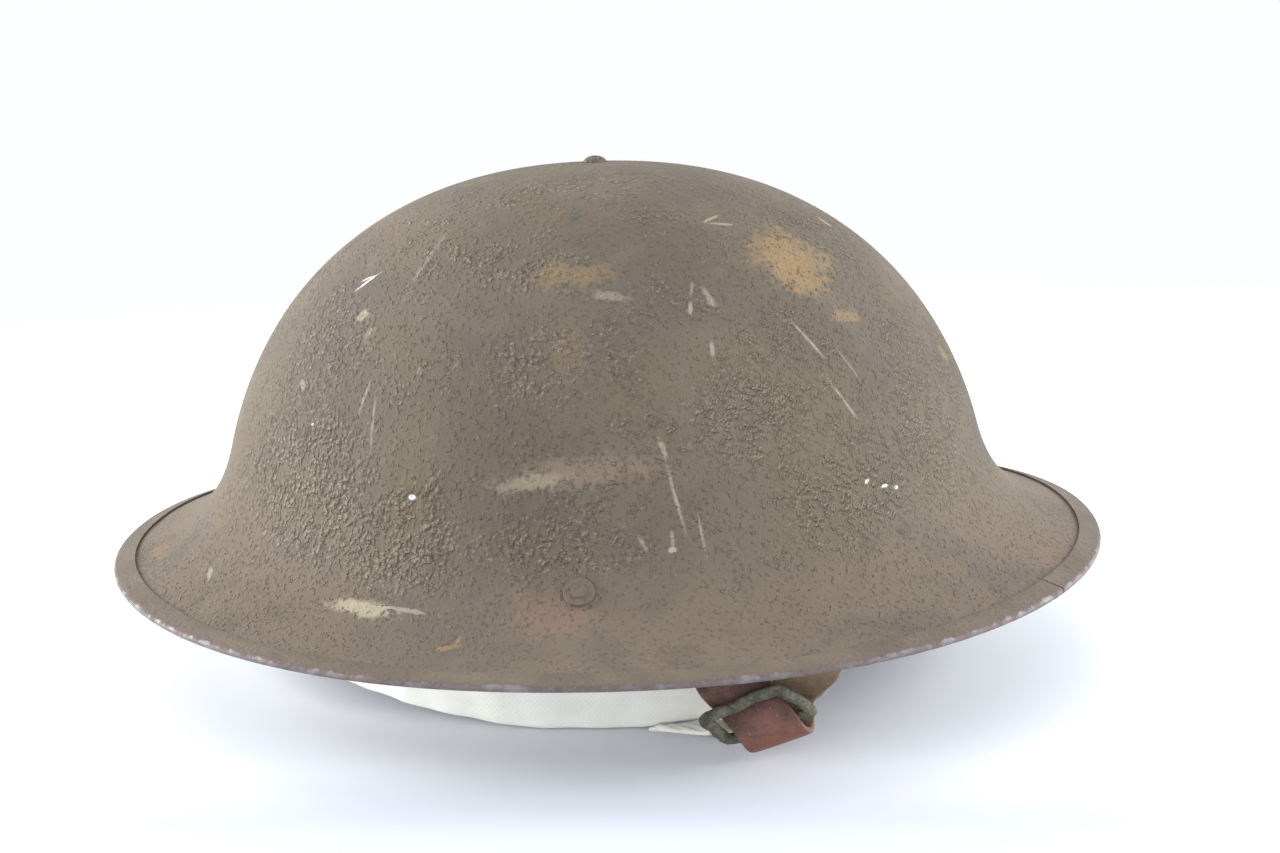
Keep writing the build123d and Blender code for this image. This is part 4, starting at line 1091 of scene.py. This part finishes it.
@dataclass
class Liner:
    """Hoop, sweatband, tongues, net, lace, hangers and pad inside the bowl."""

    bowl: Bowl
    hoop_x: float = 109.978 * MM
    hoop_y: float = 95.881 * MM
    band_x: float = 107.278 * MM
    band_y: float = 93.181 * MM
    tongue_x: float = 105.628 * MM
    tongue_y: float = 91.531 * MM
    hoop_base: float = 40.084 * MM
    hoop_top: float = 64.084 * MM
    tongue_foot: float = 58.084 * MM
    tongue_rise: float = 66.0 * MM
    tongue_thick: float = 1.1 * MM
    hole_share: float = 0.42
    slit: float = 5.0 * MM
    tongues: int = 8
    pad_reach: float = 27.76 * MM
    hanger_width: float = 16.0 * MM
    hanger_thick: float = 1.3 * MM
    pitch: float = 8.0 * MM
    pad_corner: float = 28.0 * MM
    pad_thick: float = 2.0 * MM
    clearance: float = 0.25 * MM
    lace_out: float = 2.4 * MM
    lace_level: float = 121.25 * MM
    net_in: float = 1.7 * MM
    net_level: float = 118.2 * MM

    @property
    def pad_base(self) -> float:
        """Level of the felt pad's underside."""
        bowl = self.bowl
        lean = math.asin((self.pad_corner / bowl.half_y) ** (bowl.dome_power / 2))
        level = bowl.dome(np.array(bowl.half_y), bowl.crown, bowl.rise, np.array(lean), 1.15 * MM)[1]
        return float(level) - self.pad_thick

    def hoop(self, name: str, half_x: float, half_y: float, thick: float, low: float, high: float,
             wave: float) -> bpy.types.Object:
        """Makes an upright band: a rounded upright section carried round an oval, with a slight wave.

        Args:
            name: The object's name.
            half_x: Outer reach along the helmet.
            half_y: Outer reach across it.
            thick: Thickness.
            low: Level of the lower edge.
            high: Level of the upper edge.
            wave: How far the edges waver, up to the clearance of the neighbours.

        Returns:
            The band's object.
        """
        turn = full_turn(260)
        section = rounded_section(2.0, 2.0, 7.0, 32)
        spot, out = oval_line(turn, half_x, half_y)
        inset = thick / 2 * (1 - section[None, :, 0]) + wave * (1 + np.sin(turn * 22)[:, None]) * 0.5
        points = spot[:, None] - out[:, None] * inset[..., None]
        level = (low + high) / 2 + (high - low) / 2 * section[None, :, 1] + 0 * turn[:, None]
        work = Patchwork()
        work.grid(np.concatenate([points, level[..., None]], -1), True, True,
                  flesh=section[None, :, 0] < 0, edge=np.abs(section[None, :, 1]) ** 8, worn=np.zeros((1, 1)))
        return work.build(name, 50)

    def tongue_set(self) -> bpy.types.Object:
        """Makes the tongues: a ring of cloth at the foot, and eight closed strips that follow the dome up.

        A strip's sides keep half a slit from the next one, so its half angle is an eighth turn less the slit over
        its reach.

        Returns:
            The tongues' object.
        """
        top = self.tongue_foot + self.tongue_rise
        first = math.asin(self.hole_share ** (self.bowl.dome_power / 2))
        split = math.acos((1 / 3) ** (self.bowl.dome_power / 2))
        work = Patchwork()

        def dome(turn: np.ndarray, lean: np.ndarray, depth: np.ndarray) -> np.ndarray:
            """Points under the tongues' dome."""
            half = oval(turn, self.tongue_x, self.tongue_y)
            reach, level, _, _ = self.bowl.dome(half, top, self.tongue_rise, lean, depth)
            return about(turn, reach, level)

        section = rounded_section(2.0, 2.0, 6.0, 30)
        turn = full_turn(240)[:, None]
        lean = (split + np.pi / 2) / 2 + (np.pi / 2 - split) / 2 * section[None, :, 1] * 0.995
        depth = self.tongue_thick / 2 * (1 - section[None, :, 0])
        work.grid(dome(turn, lean + 0 * turn, depth + 0 * turn), True, True)
        for number in range(self.tongues):
            middle = 2 * math.pi * number / self.tongues
            lean = np.linspace(split + 0.01, first, 40)[:, None]
            half = oval(np.array(middle), self.tongue_x, self.tongue_y)
            half = half * np.sin(lean) ** (2 / self.bowl.dome_power)
            reach = math.pi / self.tongues - self.slit / 2 / half
            turned = middle + reach * section[None, :, 0]
            pucker = 0.25 * MM * np.sin(section[None, :, 0] * 9) * (split - lean) / (split - first)
            depth = self.tongue_thick / 2 * (1 - section[None, :, 1]) + 0.25 * MM + pucker
            work.grid(dome(turned, lean + 0 * turned, depth), False, True, caps=Cap.FAN)
        return work.build("liner_tongue_cloth", 50)

    def cord(self, work: Patchwork, line: np.ndarray, reach: float, strands: int, closed: bool,
             twist: float = 900.0) -> None:
        """Adds a twisted cord: a round section with a groove between strands that turns with the way along.

        Args:
            work: The mesh to add to.
            line: Places as (n, 3).
            reach: Half the cord's thickness.
            strands: How many strands show.
            closed: Whether it is a ring.
            twist: Turning of the strands, in radians for each metre.
        """
        if closed:
            across, out = ring_path(line, np.array([0.0, 0.0, 1.0]))
        else:
            along = unit(np.gradient(line, axis=0))
            across = unit(np.cross(along, [0.0, 0.0, 1.0]))
            out = np.cross(across, along)
        angle = full_turn(10)[None]
        step = run_along(line)[:, None]
        if closed:
            twist = round(step[-1, 0] * twist * strands / (2 * np.pi)) * 2 * np.pi / (step[-1, 0] * strands)
        size = reach * (0.84 + 0.16 * np.abs(np.cos((angle + step * twist) * strands / 2)))
        section = np.stack([np.cos(angle) * size, np.sin(angle) * size], -1)
        work.grid(carried_along(line, across, out, section), closed, True, caps=Cap.NONE if closed else Cap.FAN)

    def hole_ring(self, grow: float, level: float, count: int) -> np.ndarray:
        """An oval line round the tongues' hole.

        Args:
            grow: How much further out than the hole it runs.
            level: Its level.
            count: How many points.

        Returns:
            Points as (count, 3).
        """
        halves = (half * self.hole_share + grow for half in (self.tongue_x, self.tongue_y))
        return np.pad(oval_line(full_turn(count), *halves)[0], ((0, 0), (0, 1)), constant_values=level)

    def lace(self) -> bpy.types.Object:
        """Makes the draw lace, a ring on the tongues' tips.

        Returns:
            The lace's object.
        """
        work = Patchwork()
        self.cord(work, self.hole_ring(self.lace_out, self.lace_level, 320), 1.2 * MM, 3, True)
        return work.build("draw_lace_cord", 80)

    def net(self) -> bpy.types.Object:
        """Makes the crown net: two crossing sets of cords, over and under by a sine, inside a ring of cord.

        Returns:
            The net's object.
        """
        half_x = self.tongue_x * self.hole_share - self.net_in
        half_y = self.tongue_y * self.hole_share - self.net_in
        work = Patchwork()
        self.cord(work, self.hole_ring(-self.net_in, self.net_level, 200), 0.8 * MM, 3, True)
        for along_x in (True, False):
            near, far = (half_x, half_y) if along_x else (half_y, half_x)
            for number in range(-int(far / self.pitch), int(far / self.pitch) + 1):
                side = (number + (0.5 if along_x else 0.0)) * self.pitch
                if abs(side) > far * 0.97:
                    continue
                reach = near * math.sqrt(1 - (side / far) ** 2)
                run = np.linspace(-reach, reach, 90)
                lift = 0.45 * MM * np.cos(np.pi * run / self.pitch + np.pi * number) * (1 if along_x else -1)
                drift = 0.5 * MM * np.sin(run * 90 + number)
                spots = (run, side + drift) if along_x else (side + drift, run)
                self.cord(work, np.stack([*spots, self.net_level + lift], -1), 0.55 * MM, 2, False)
        return work.build("crown_net_cords", 80)

    def pad(self) -> bpy.types.Object:
        """Makes the felt pad: a disc whose top follows the dome and whose rim is rounded.

        Returns:
            The pad's object.
        """
        bowl = self.bowl
        turn = full_turn(120)[:, None]
        share = np.linspace(0, 1, 14)[None]
        lean = math.asin((self.pad_reach / bowl.half_y) ** (bowl.dome_power / 2)) * share
        reach, level, _, _ = bowl.dome(np.array(bowl.half_y), bowl.crown, bowl.rise, lean, 1.2 * MM)
        base = level[0, -1] - self.pad_thick
        ring = np.array([[0.35, -0.25], [0.45, -1.0], [0.2, -1.7], [-0.6, -2.0]]) * MM
        hole = bowl.hole
        outline_r = np.concatenate([[hole], reach[0, 1:], self.pad_reach + ring[:, 0], [hole]])
        outline_z = np.concatenate([[level[0, 0]], level[0, 1:], level[0, -1] + ring[:, 1], [base]])
        work = Patchwork()
        work.grid(about(turn, outline_r[None], outline_z[None]), True, True)
        return work.build("crown_pad_felt", 50)

    def hanger(self, name: str, half: float, top: float, crosswise: bool) -> bpy.types.Object:
        """Makes a hanger: a flat rounded section carried over the dome's curve from end to end.

        Args:
            name: The object's name.
            half: Reach at the feet.
            top: Level at the crown.
            crosswise: Whether it runs across the helmet.

        Returns:
            The hanger's object.
        """
        lean = np.linspace(-np.pi / 2, np.pi / 2, 160)
        foot = self.hoop_base + (self.hoop_top - self.hoop_base) / 2
        reach, level, out_r, out_z = self.bowl.dome(np.array(half), top, top - foot, np.abs(lean),
                                                    self.hanger_thick / 2)
        side = np.sign(lean)
        flat = np.stack([side * reach, 0 * lean, level], -1)
        out = unit(np.stack([side * out_r, 0 * lean, out_z], -1))
        across = np.broadcast_to([0.0, 1.0, 0.0], out.shape)
        if crosswise:
            flat, out, across = (np.stack([-ways[..., 1], ways[..., 0], ways[..., 2]], -1)
                                 for ways in (flat, out, across))
        section = rounded_section(self.hanger_width, self.hanger_thick, 6.0, 28)
        work = Patchwork()
        work.grid(carried_along(flat, across, out, section), False, True, caps=Cap.FAN,
                  flesh=section[None, :, 1] < 0, worn=np.zeros((1, 1)),
                  edge=(np.abs(section[None, :, 0]) / (self.hanger_width / 2)) ** 8)
        return work.build(name, 50)


@dataclass
class Strap:
    """A leather strap: a flat section carried along cubics through its places, from its riveted eye to its end.

    Each place is a centre and a way across. The grain side is the way along crossed with the way across. The eye is
    the reach of its roll about the loop's bar, in millimetres.
    """

    pivot: np.ndarray
    down: np.ndarray
    across: np.ndarray
    width: float = 16.8 * MM
    thick: float = 2.0 * MM
    eye: float = 2.9
    ply: float = 1.08 * MM

    def eye_places(self) -> list[tuple[np.ndarray, np.ndarray]]:
        """Places round the loop's bar: out on the inner ply's end, back to the bar, round it, and out again.

        Returns:
            Places and ways across.
        """
        out = np.cross(self.down, self.across)
        spots = [(13.0, -self.ply / MM), (7.5, -self.ply / MM), (3.2, -2.0)]
        spots += [(-self.eye * math.cos(turn), self.eye * math.sin(turn)) for turn in np.radians(range(-90, 91, 30))]
        spots += [(3.2, 2.0), (7.5, self.ply / MM)]
        return [(self.pivot + (self.down * along + out * off) * MM, self.across) for along, off in spots]

    def path(self, places: list[tuple[np.ndarray, np.ndarray]], steps: int) -> tuple[np.ndarray, ...]:
        """A smooth path: between two places a cubic that passes both in the way from neighbour to neighbour.

        Args:
            places: Places and ways across.
            steps: Points between two places.

        Returns:
            Centres, ways across, ways out, and the number of the place that each point follows.
        """
        spots = np.array([place for place, _ in places])
        ways = np.array([way for _, way in places])
        sides = np.diff(spots, axis=0)
        sizes = np.linalg.norm(sides, axis=1, keepdims=True)
        headings = sides / sizes
        middle = headings[:-1] * sizes[1:] + headings[1:] * sizes[:-1]
        along = unit(np.concatenate([headings[:1], middle, headings[-1:]]))
        share = np.linspace(0, 1, steps, endpoint=False)[None, :, None]
        reach = sizes[:, None]
        first, last = spots[:-1, None], spots[1:, None]
        leave, meet = along[:-1, None] * reach, along[1:, None] * reach
        line = (first * (2 * share**3 - 3 * share**2 + 1) + leave * (share**3 - 2 * share**2 + share)
                + last * (3 * share**2 - 2 * share**3) + meet * (share**3 - share**2)).reshape(-1, 3)
        turned = (ways[:-1, None] * (1 - share) + ways[1:, None] * share).reshape(-1, 3)
        line = np.concatenate([line, spots[-1:]])
        turned = np.concatenate([turned, ways[-1:]])
        heading = unit(np.gradient(line, axis=0))
        turned = unit(turned)
        out = unit(np.cross(heading, turned))
        number = np.linspace(0, len(places) - 1, len(line))
        return line, turned, out, number

    def build(self, name: str, run: list[tuple[np.ndarray, np.ndarray]], mirrored: bool,
              worn: tuple[float, float] = (0.0, 0.0)) -> bpy.types.Object:
        """Makes the strap.

        Args:
            name: The object's name.
            run: Places and ways across past the eye.
            mirrored: Whether it is on the far side.
            worn: First and last of the places where the grain is rubbed.

        Returns:
            The strap's object.
        """
        eye = self.eye_places()
        line, across, out, number = self.path(eye + run, 9)
        section = rounded_section(self.width, self.thick, 7.0, 40)
        reach = np.abs(section[:, 0]) / (self.width / 2)
        curl = 0.10 * MM * np.sin(number * 1.7)[:, None] * reach[None] ** 2
        shape = np.stack([np.broadcast_to(section[None, :, 0], curl.shape), section[None, :, 1] + curl], -1)
        points = carried_along(line, across, out, shape)
        if mirrored:
            points = points * np.array([1.0, -1.0, 1.0])
        rubbed = np.exp(-((number - (worn[0] + worn[1]) / 2 - len(eye)) / max(worn[1] - worn[0], 1.0) * 2) ** 2)
        work = Patchwork()
        work.grid(points, False, True, caps=Cap.FAN,
                  flesh=section[None, :, 1] < 0, edge=reach[None] ** 10, worn=rubbed[:, None] * (worn[1] > 0))
        return work.build(name, 60)


@dataclass
class Buckle:
    """The slide buckle: a bent frame of thick, lumpy wire."""

    corners: np.ndarray
    wire: float = 1.5 * MM
    bend: float = 2.4 * MM

    def build(self) -> bpy.types.Object:
        """Makes the frame: an oval section with lumps, carried round four straights and four bends.

        A bend is a quadratic curve from one straight to the next, and the lumps are summed sines of the way along
        and round.

        Returns:
            The buckle's object.
        """
        here = self.corners
        ahead = unit(np.roll(here, -1, 0) - here)
        before = unit(np.roll(here, 1, 0) - here)
        share = np.linspace(0, 1, 14)[None, :, None]
        enter, leave = here + before * self.bend, here + ahead * self.bend
        turns = (enter[:, None] * (1 - share) ** 2 + here[:, None] * 2 * share * (1 - share)
                 + leave[:, None] * share**2)
        run = np.linspace(0, 1, 26)[None, 1:-1, None]
        straights = leave[:, None] * (1 - run) + np.roll(enter, -1, 0)[:, None] * run
        line = np.concatenate([turns, straights], 1).reshape(-1, 3)
        flat = unit(np.cross(here[1] - here[0], here[3] - here[0]))
        across, out = ring_path(line, flat)
        step = full_turn(len(line))[:, None]
        angle = full_turn(22)[None]
        lumps = (0.09 * np.sin(5 * step + angle) + 0.06 * np.sin(11 * step - angle + 1)
                 + 0.03 * np.sin(29 * step + 2 * angle) + 0.02 * np.sin(53 * step - 2 * angle + 2))
        size = self.wire * (1.0 + lumps)
        section = np.stack([np.cos(angle) * size * 1.10, np.sin(angle) * size * 0.92], -1)
        work = Patchwork()
        work.grid(carried_along(line, across, out, section), True, True)
        return work.build("slide_buckle_frame", 80)


class Side(Enum):
    """Where a softbox stands."""

    OVER = "over"
    LEFT = "left"
    RIGHT = "right"
    FRONT = "front"


@dataclass(frozen=True)
class Softbox:
    """A soft square lamp that looks at the helmet."""

    side: Side
    place: tuple[float, float, float]
    size: float
    power: float


@dataclass
class Studio:
    """Floor, lamps, backdrop and camera."""

    lamps: tuple[Softbox, ...] = (
        Softbox(Side.OVER, (-0.1, 0.55, 1.3), 0.9, 4.0),
        Softbox(Side.LEFT, (-1.35, 0.05, 0.45), 0.8, 28.0),
        Softbox(Side.RIGHT, (1.35, 0.10, 0.45), 0.8, 19.0),
        Softbox(Side.FRONT, (-0.2, -1.6, 0.12), 0.6, 3.0),
    )
    low_glow: float = 3.3
    high_glow: float = 1.15
    front_share: float = 0.55
    glow_tint: tuple[float, float, float, float] = (0.93, 0.96, 1.0, 1.0)
    backdrop: tuple[float, float, float, float] = (0.985, 0.992, 1.0, 1.0)
    eye: tuple[float, float, float] = (0.04135, -0.5913, 0.1843)
    target: tuple[float, float, float] = (0.0, 0.0, 0.0915)
    roll: float = math.radians(1.91)
    lens: float = 52.6
    shift: tuple[float, float] = (0.0303, -0.0586)

    def camera(self) -> None:
        """Places the camera where the photo was taken from."""
        back = (Vector(self.eye) - Vector(self.target)).normalized()
        right = Vector((0, 0, 1)).cross(back).normalized()
        up = back.cross(right)
        turned_right = right * math.cos(self.roll) - up * math.sin(self.roll)
        turned_up = right * math.sin(self.roll) + up * math.cos(self.roll)
        data = bpy.data.cameras.new("photo_camera")
        data.lens = self.lens
        data.sensor_width = 36.0
        data.shift_x, data.shift_y = self.shift
        data.clip_start = 0.01
        camera = bpy.data.objects.new("photo_camera", data)
        axes = Matrix((turned_right, turned_up, back)).transposed()
        camera.matrix_world = Matrix.Translation(self.eye) @ axes.to_4x4()
        bpy.context.scene.collection.objects.link(camera)
        bpy.context.scene.camera = camera

    def light(self) -> None:
        """Places the lamps and a plain pale world that also shows white behind the object.

        The world's light is a base plus a gain times the square of one less the way's height, so that it is
        brightest low down, and it is less from the camera's side.
        """
        for lamp in self.lamps:
            data = bpy.data.lights.new("softbox_" + lamp.side.value, "AREA")
            data.shape = "SQUARE"
            data.size = lamp.size
            data.energy = lamp.power
            holder = bpy.data.objects.new(data.name, data)
            away = (Vector(lamp.place) - Vector((0, 0, 0.08))).normalized()
            aim = away.to_track_quat("Z", "Y").to_matrix()
            holder.matrix_world = Matrix.Translation(lamp.place) @ aim.to_4x4()
            bpy.context.scene.collection.objects.link(holder)
        world = bpy.data.worlds.new("pale_room")
        bpy.context.scene.world = world
        g = Graph(world, "Generated")
        low = 1 - g.part("Z").size()
        front = g.value("ShaderNodeMapRange", {}, {0: g.part("Y"), 1: -0.8, 2: 0.1, 3: self.front_share, 4: 1.0})
        strength = (low * low * self.low_glow + self.high_glow) * front
        lit = g.value("ShaderNodeBackground", {}, {0: self.glow_tint, 1: strength})
        white = g.value("ShaderNodeBackground", {}, {0: self.backdrop, 1: 1.0})
        seen, mirrored = (g.value("ShaderNodeLightPath", {}, {}, ray) for ray in ("Is Camera Ray", "Is Glossy Ray"))
        both = g.value("ShaderNodeMixShader", {}, {0: seen.most(mirrored), 1: lit, 2: white})
        g.add("ShaderNodeOutputWorld", {}, {0: both})

    def floor(self) -> bpy.types.Object:
        """Makes the floor, a wide flat disc in rings, with painted shade near the helmet and a painted shadow in
        front of it.

        Returns:
            The floor's object.
        """
        work = Patchwork()
        work.grid(about(full_turn(64)[:, None], np.array([0.001, 0.3, 0.6, 1.0])[None], 0.0), True, False)
        disc = work.build("floor")
        g = Surface("floor_pale")
        far = g.value("ShaderNodeVectorMath", {"operation": "LENGTH"}, {0: g.place}, "Value")
        # painted shade: the floor a little darker and bluer near the helmet
        colour = g.mix(g.between(far, 0.15, 0.8), tone(232, 235, 242), tone(250, 251, 253))
        # painted shadow: a grey patch on the floor in front of the helmet
        front = g.between(g.part("Y"), -0.118, -0.160) * g.between(far, 0.40, 0.20)
        colour = g.mix(front * 0.85, colour, tone(180, 184, 193))
        disc.data.materials.append(g.dress(Base_Color=colour, Roughness=0.9, Specular_IOR_Level=0.1,
                                           Alpha=g.between(far, 0.95, 0.50)))
        return disc

    def build(self) -> None:
        """Sets the whole studio."""
        self.camera()
        self.light()
        self.floor()
        bpy.context.scene.view_settings.view_transform = "Standard"


@dataclass
class Helmet:
    """The whole helmet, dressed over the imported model."""

    bowl: Bowl = field(default_factory=Bowl)

    def settle(self, piece: bpy.types.Object, body: str, node: str,
               material: bpy.types.Material) -> None:
        """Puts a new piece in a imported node's place.

        Args:
            piece: The new piece.
            body: The body it rides on.
            node: The node that it replaces.
            material: Its finish.
        """
        piece.data.materials.append(material)
        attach(piece, body)
        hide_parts(node)
        log.info("%s stands for %s on %s", piece.name, node, body)

    def dress(self, node: str, material: bpy.types.Material) -> None:
        """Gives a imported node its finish."""
        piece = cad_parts[node]
        if piece.material_slots:
            for holder in piece.material_slots:
                holder.material = material
        else:
            piece.data.materials.append(material)
        log.info("%s is finished in %s", node, material.name)

    def steelwork(self) -> None:
        """Builds and dresses the shell, its rim strip and its rivets."""
        paint = SandPaint().build(self.bowl)
        self.settle(self.bowl.build(), "helmet", "shell", paint)
        self.settle(RimStrip(self.bowl).build(), "helmet", "rim_strip", StripSteel().build())
        plain = SandPaint().build(self.bowl, worn=False)
        for node in ("crown_rivet", "near_bail_rivet", "far_bail_rivet"):
            self.dress(node, plain)

    def lining(self) -> None:
        """Builds and dresses the liner."""
        liner = Liner(self.bowl)
        hide = Leather("liner_leather", tone(83, 61, 45), tone(119, 92, 69), tone(135, 116, 92), 0.6).build()
        oilcloth = Cloth("oilcloth", tone(31, 30, 27), tone(56, 54, 49), 2600, 0.62, 0.2).build()
        cord = Cloth("lace_cord", tone(126, 116, 90), tone(161, 150, 123), 5200, 0.9, 0.1).build()
        felt = Cloth("felt", tone(107, 96, 79), tone(135, 125, 105), 1500, 0.95, 0.25).build()
        self.settle(liner.hoop("liner_hoop_hide", liner.hoop_x, liner.hoop_y, 1.6 * MM, liner.hoop_base,
                               liner.hoop_top, 0.0), "helmet", "liner_hoop", hide)
        band = liner.hoop("headband_cloth", liner.band_x, liner.band_y, 1.3 * MM, 34.084 * MM, liner.hoop_top,
                          0.15 * MM)
        self.settle(band, "helmet", "headband", oilcloth)
        tongues = liner.tongue_set()
        self.settle(tongues, "helmet", "liner_tongues", oilcloth)
        self.settle(liner.lace(), "helmet", "draw_lace", cord)
        self.settle(liner.net(), "helmet", "crown_net", cord)
        pad = liner.pad()
        self.settle(pad, "helmet", "crown_pad", felt)
        long_top = liner.pad_base - liner.clearance
        cross_top = long_top - liner.hanger_thick - liner.clearance
        stand = liner.tongue_thick + liner.hanger_thick
        self.settle(liner.hanger("hanger_long_hide", liner.hoop_x + stand, long_top, False),
                    "helmet", "hanger_strap_long", hide)
        self.settle(liner.hanger("hanger_cross_hide", liner.hoop_y + stand, cross_top, True),
                    "helmet", "hanger_strap_cross", hide)
        quilt = Quilting().build()
        wadding = Wadding()
        band = wadding.band()
        self.settle(band, "helmet", "wadding_band", quilt)
        flap = wadding.flap()
        self.settle(flap, "helmet", "wadding_flap", quilt)
        rubber = Cloth("spacer_rubber", tone(52, 45, 42), tone(76, 67, 60), 900, 0.8, 0.12).build()
        self.dress("rubber_spacers", rubber)
        steel = DullSteel().build()
        for node in ("crown_washer", "hanger_rivets", "spacer_rivets", "near_bail_bracket", "far_bail_bracket",
                     "near_bail", "far_bail", "near_strap_rivet", "far_strap_rivet"):
            self.dress(node, steel)

    def chinstrap(self) -> None:
        """Builds and dresses both halves of the chinstrap and the buckle."""
        across = np.array([0.309017, 0.612612, 0.727472])
        down = unit(np.array([across[2], 0.0, -across[0]]))
        pivot = np.array([21.4145, -111.213, 33.1757]) * MM
        strap = Strap(pivot, down, across)
        corners = np.array([(31.8, -122.5, 12.7), (52.0, -122.5, 21.0), (61.4, -117.5, 12.7),
                            (39.0, -117.5, 4.9)]) * MM
        bar = unit(corners[2] - corners[3])
        centre = (corners[2] + corners[3]) / 2
        roll_out = np.array([0.0, -1.0, 0.0])
        roll_up = unit(np.cross(roll_out, bar))
        if roll_up[2] < 0:
            roll_up = -roll_up
        roll_reach, fold_reach = 4.05 * MM, 3.2 * MM
        leather = Leather("strap_leather", tone(67, 42, 38), tone(119, 76, 63), tone(132, 110, 88)).build()

        def at(x: float, y: float, z: float, *way: float) -> tuple[np.ndarray, np.ndarray]:
            """A place in millimetres and the way across there."""
            return np.array([x, y, z]) * MM, unit(np.array(way))

        start = (pivot + down * 11.9 * MM + np.cross(down, across) * 0.4 * MM, across)
        near = [start,
                at(35.8, -115.6, 25.0, 0.62, 0.30, 0.72), at(43.2, -118.2, 16.7, 0.90, 0.05, 0.43)]
        for angle in np.linspace(20.0, -190.0, 8):
            turned = math.radians(angle)
            slip = (4.2 * (20.0 - angle) / 210.0 - 0.8) * MM
            around = roll_out * math.cos(turned) + roll_up * math.sin(turned)
            near.append((centre + around * roll_reach + bar * slip, bar))
        near += [at(56.3, -111.7, 14.8, 0.97, 0.0, 0.20), at(59.6, -110.6, 20.3, 0.99, 0.05, -0.08),
                 at(61.8, -108.8, 25.6, 0.98, 0.10, -0.16)]
        self.settle(strap.build("near_strap_leather", near, False, (3.0, 10.0)),
                    "near_strap", "near_strap", leather)
        self.settle(Buckle(corners).build(), "slide_buckle", "slide_buckle", BucklePaint().build())
        turn = math.radians(38.0)
        fold_along = np.array([math.cos(turn), math.sin(turn), 0.0])
        fold_out = np.array([math.sin(turn), -math.cos(turn), 0.0])
        fold = np.array([79.5, -96.6, 12.8]) * MM
        far = [start,
               at(39.0, -115.4, 24.5, 0.46, 0.20, 0.86), at(50.0, -112.6, 18.5, 0.24, 0.05, 0.97),
               at(62.0, -106.5, 15.0, 0.08, 0.0, 1.0), at(72.0, -99.5, 13.3, 0.02, 0.0, 1.0)]
        for turned in np.linspace(0, np.pi, 5):
            around = fold_along * math.sin(turned) - fold_out * math.cos(turned)
            far.append((fold + around * fold_reach, np.array([0.0, 0.0, 1.0])))
        far += [at(75.0, -105.0, 12.6, 0.0, 0.0, 1.0), at(62.0, -114.0, 12.6, 0.02, 0.0, 1.0),
                at(48.0, -120.5, 13.2, 0.04, 0.0, 1.0)]
        self.settle(strap.build("far_strap_leather", far, True), "far_strap", "far_strap", leather)

    def build(self) -> None:
        """Builds the whole helmet."""
        self.steelwork()
        self.lining()
        self.chinstrap()


def main() -> None:
    """Builds the helmet and its studio, and reports each piece."""
    logging.basicConfig(level=logging.INFO, format="%(name)s: %(message)s")
    Helmet().build()
    Studio().build()


if __name__ == "__main__":
    main()
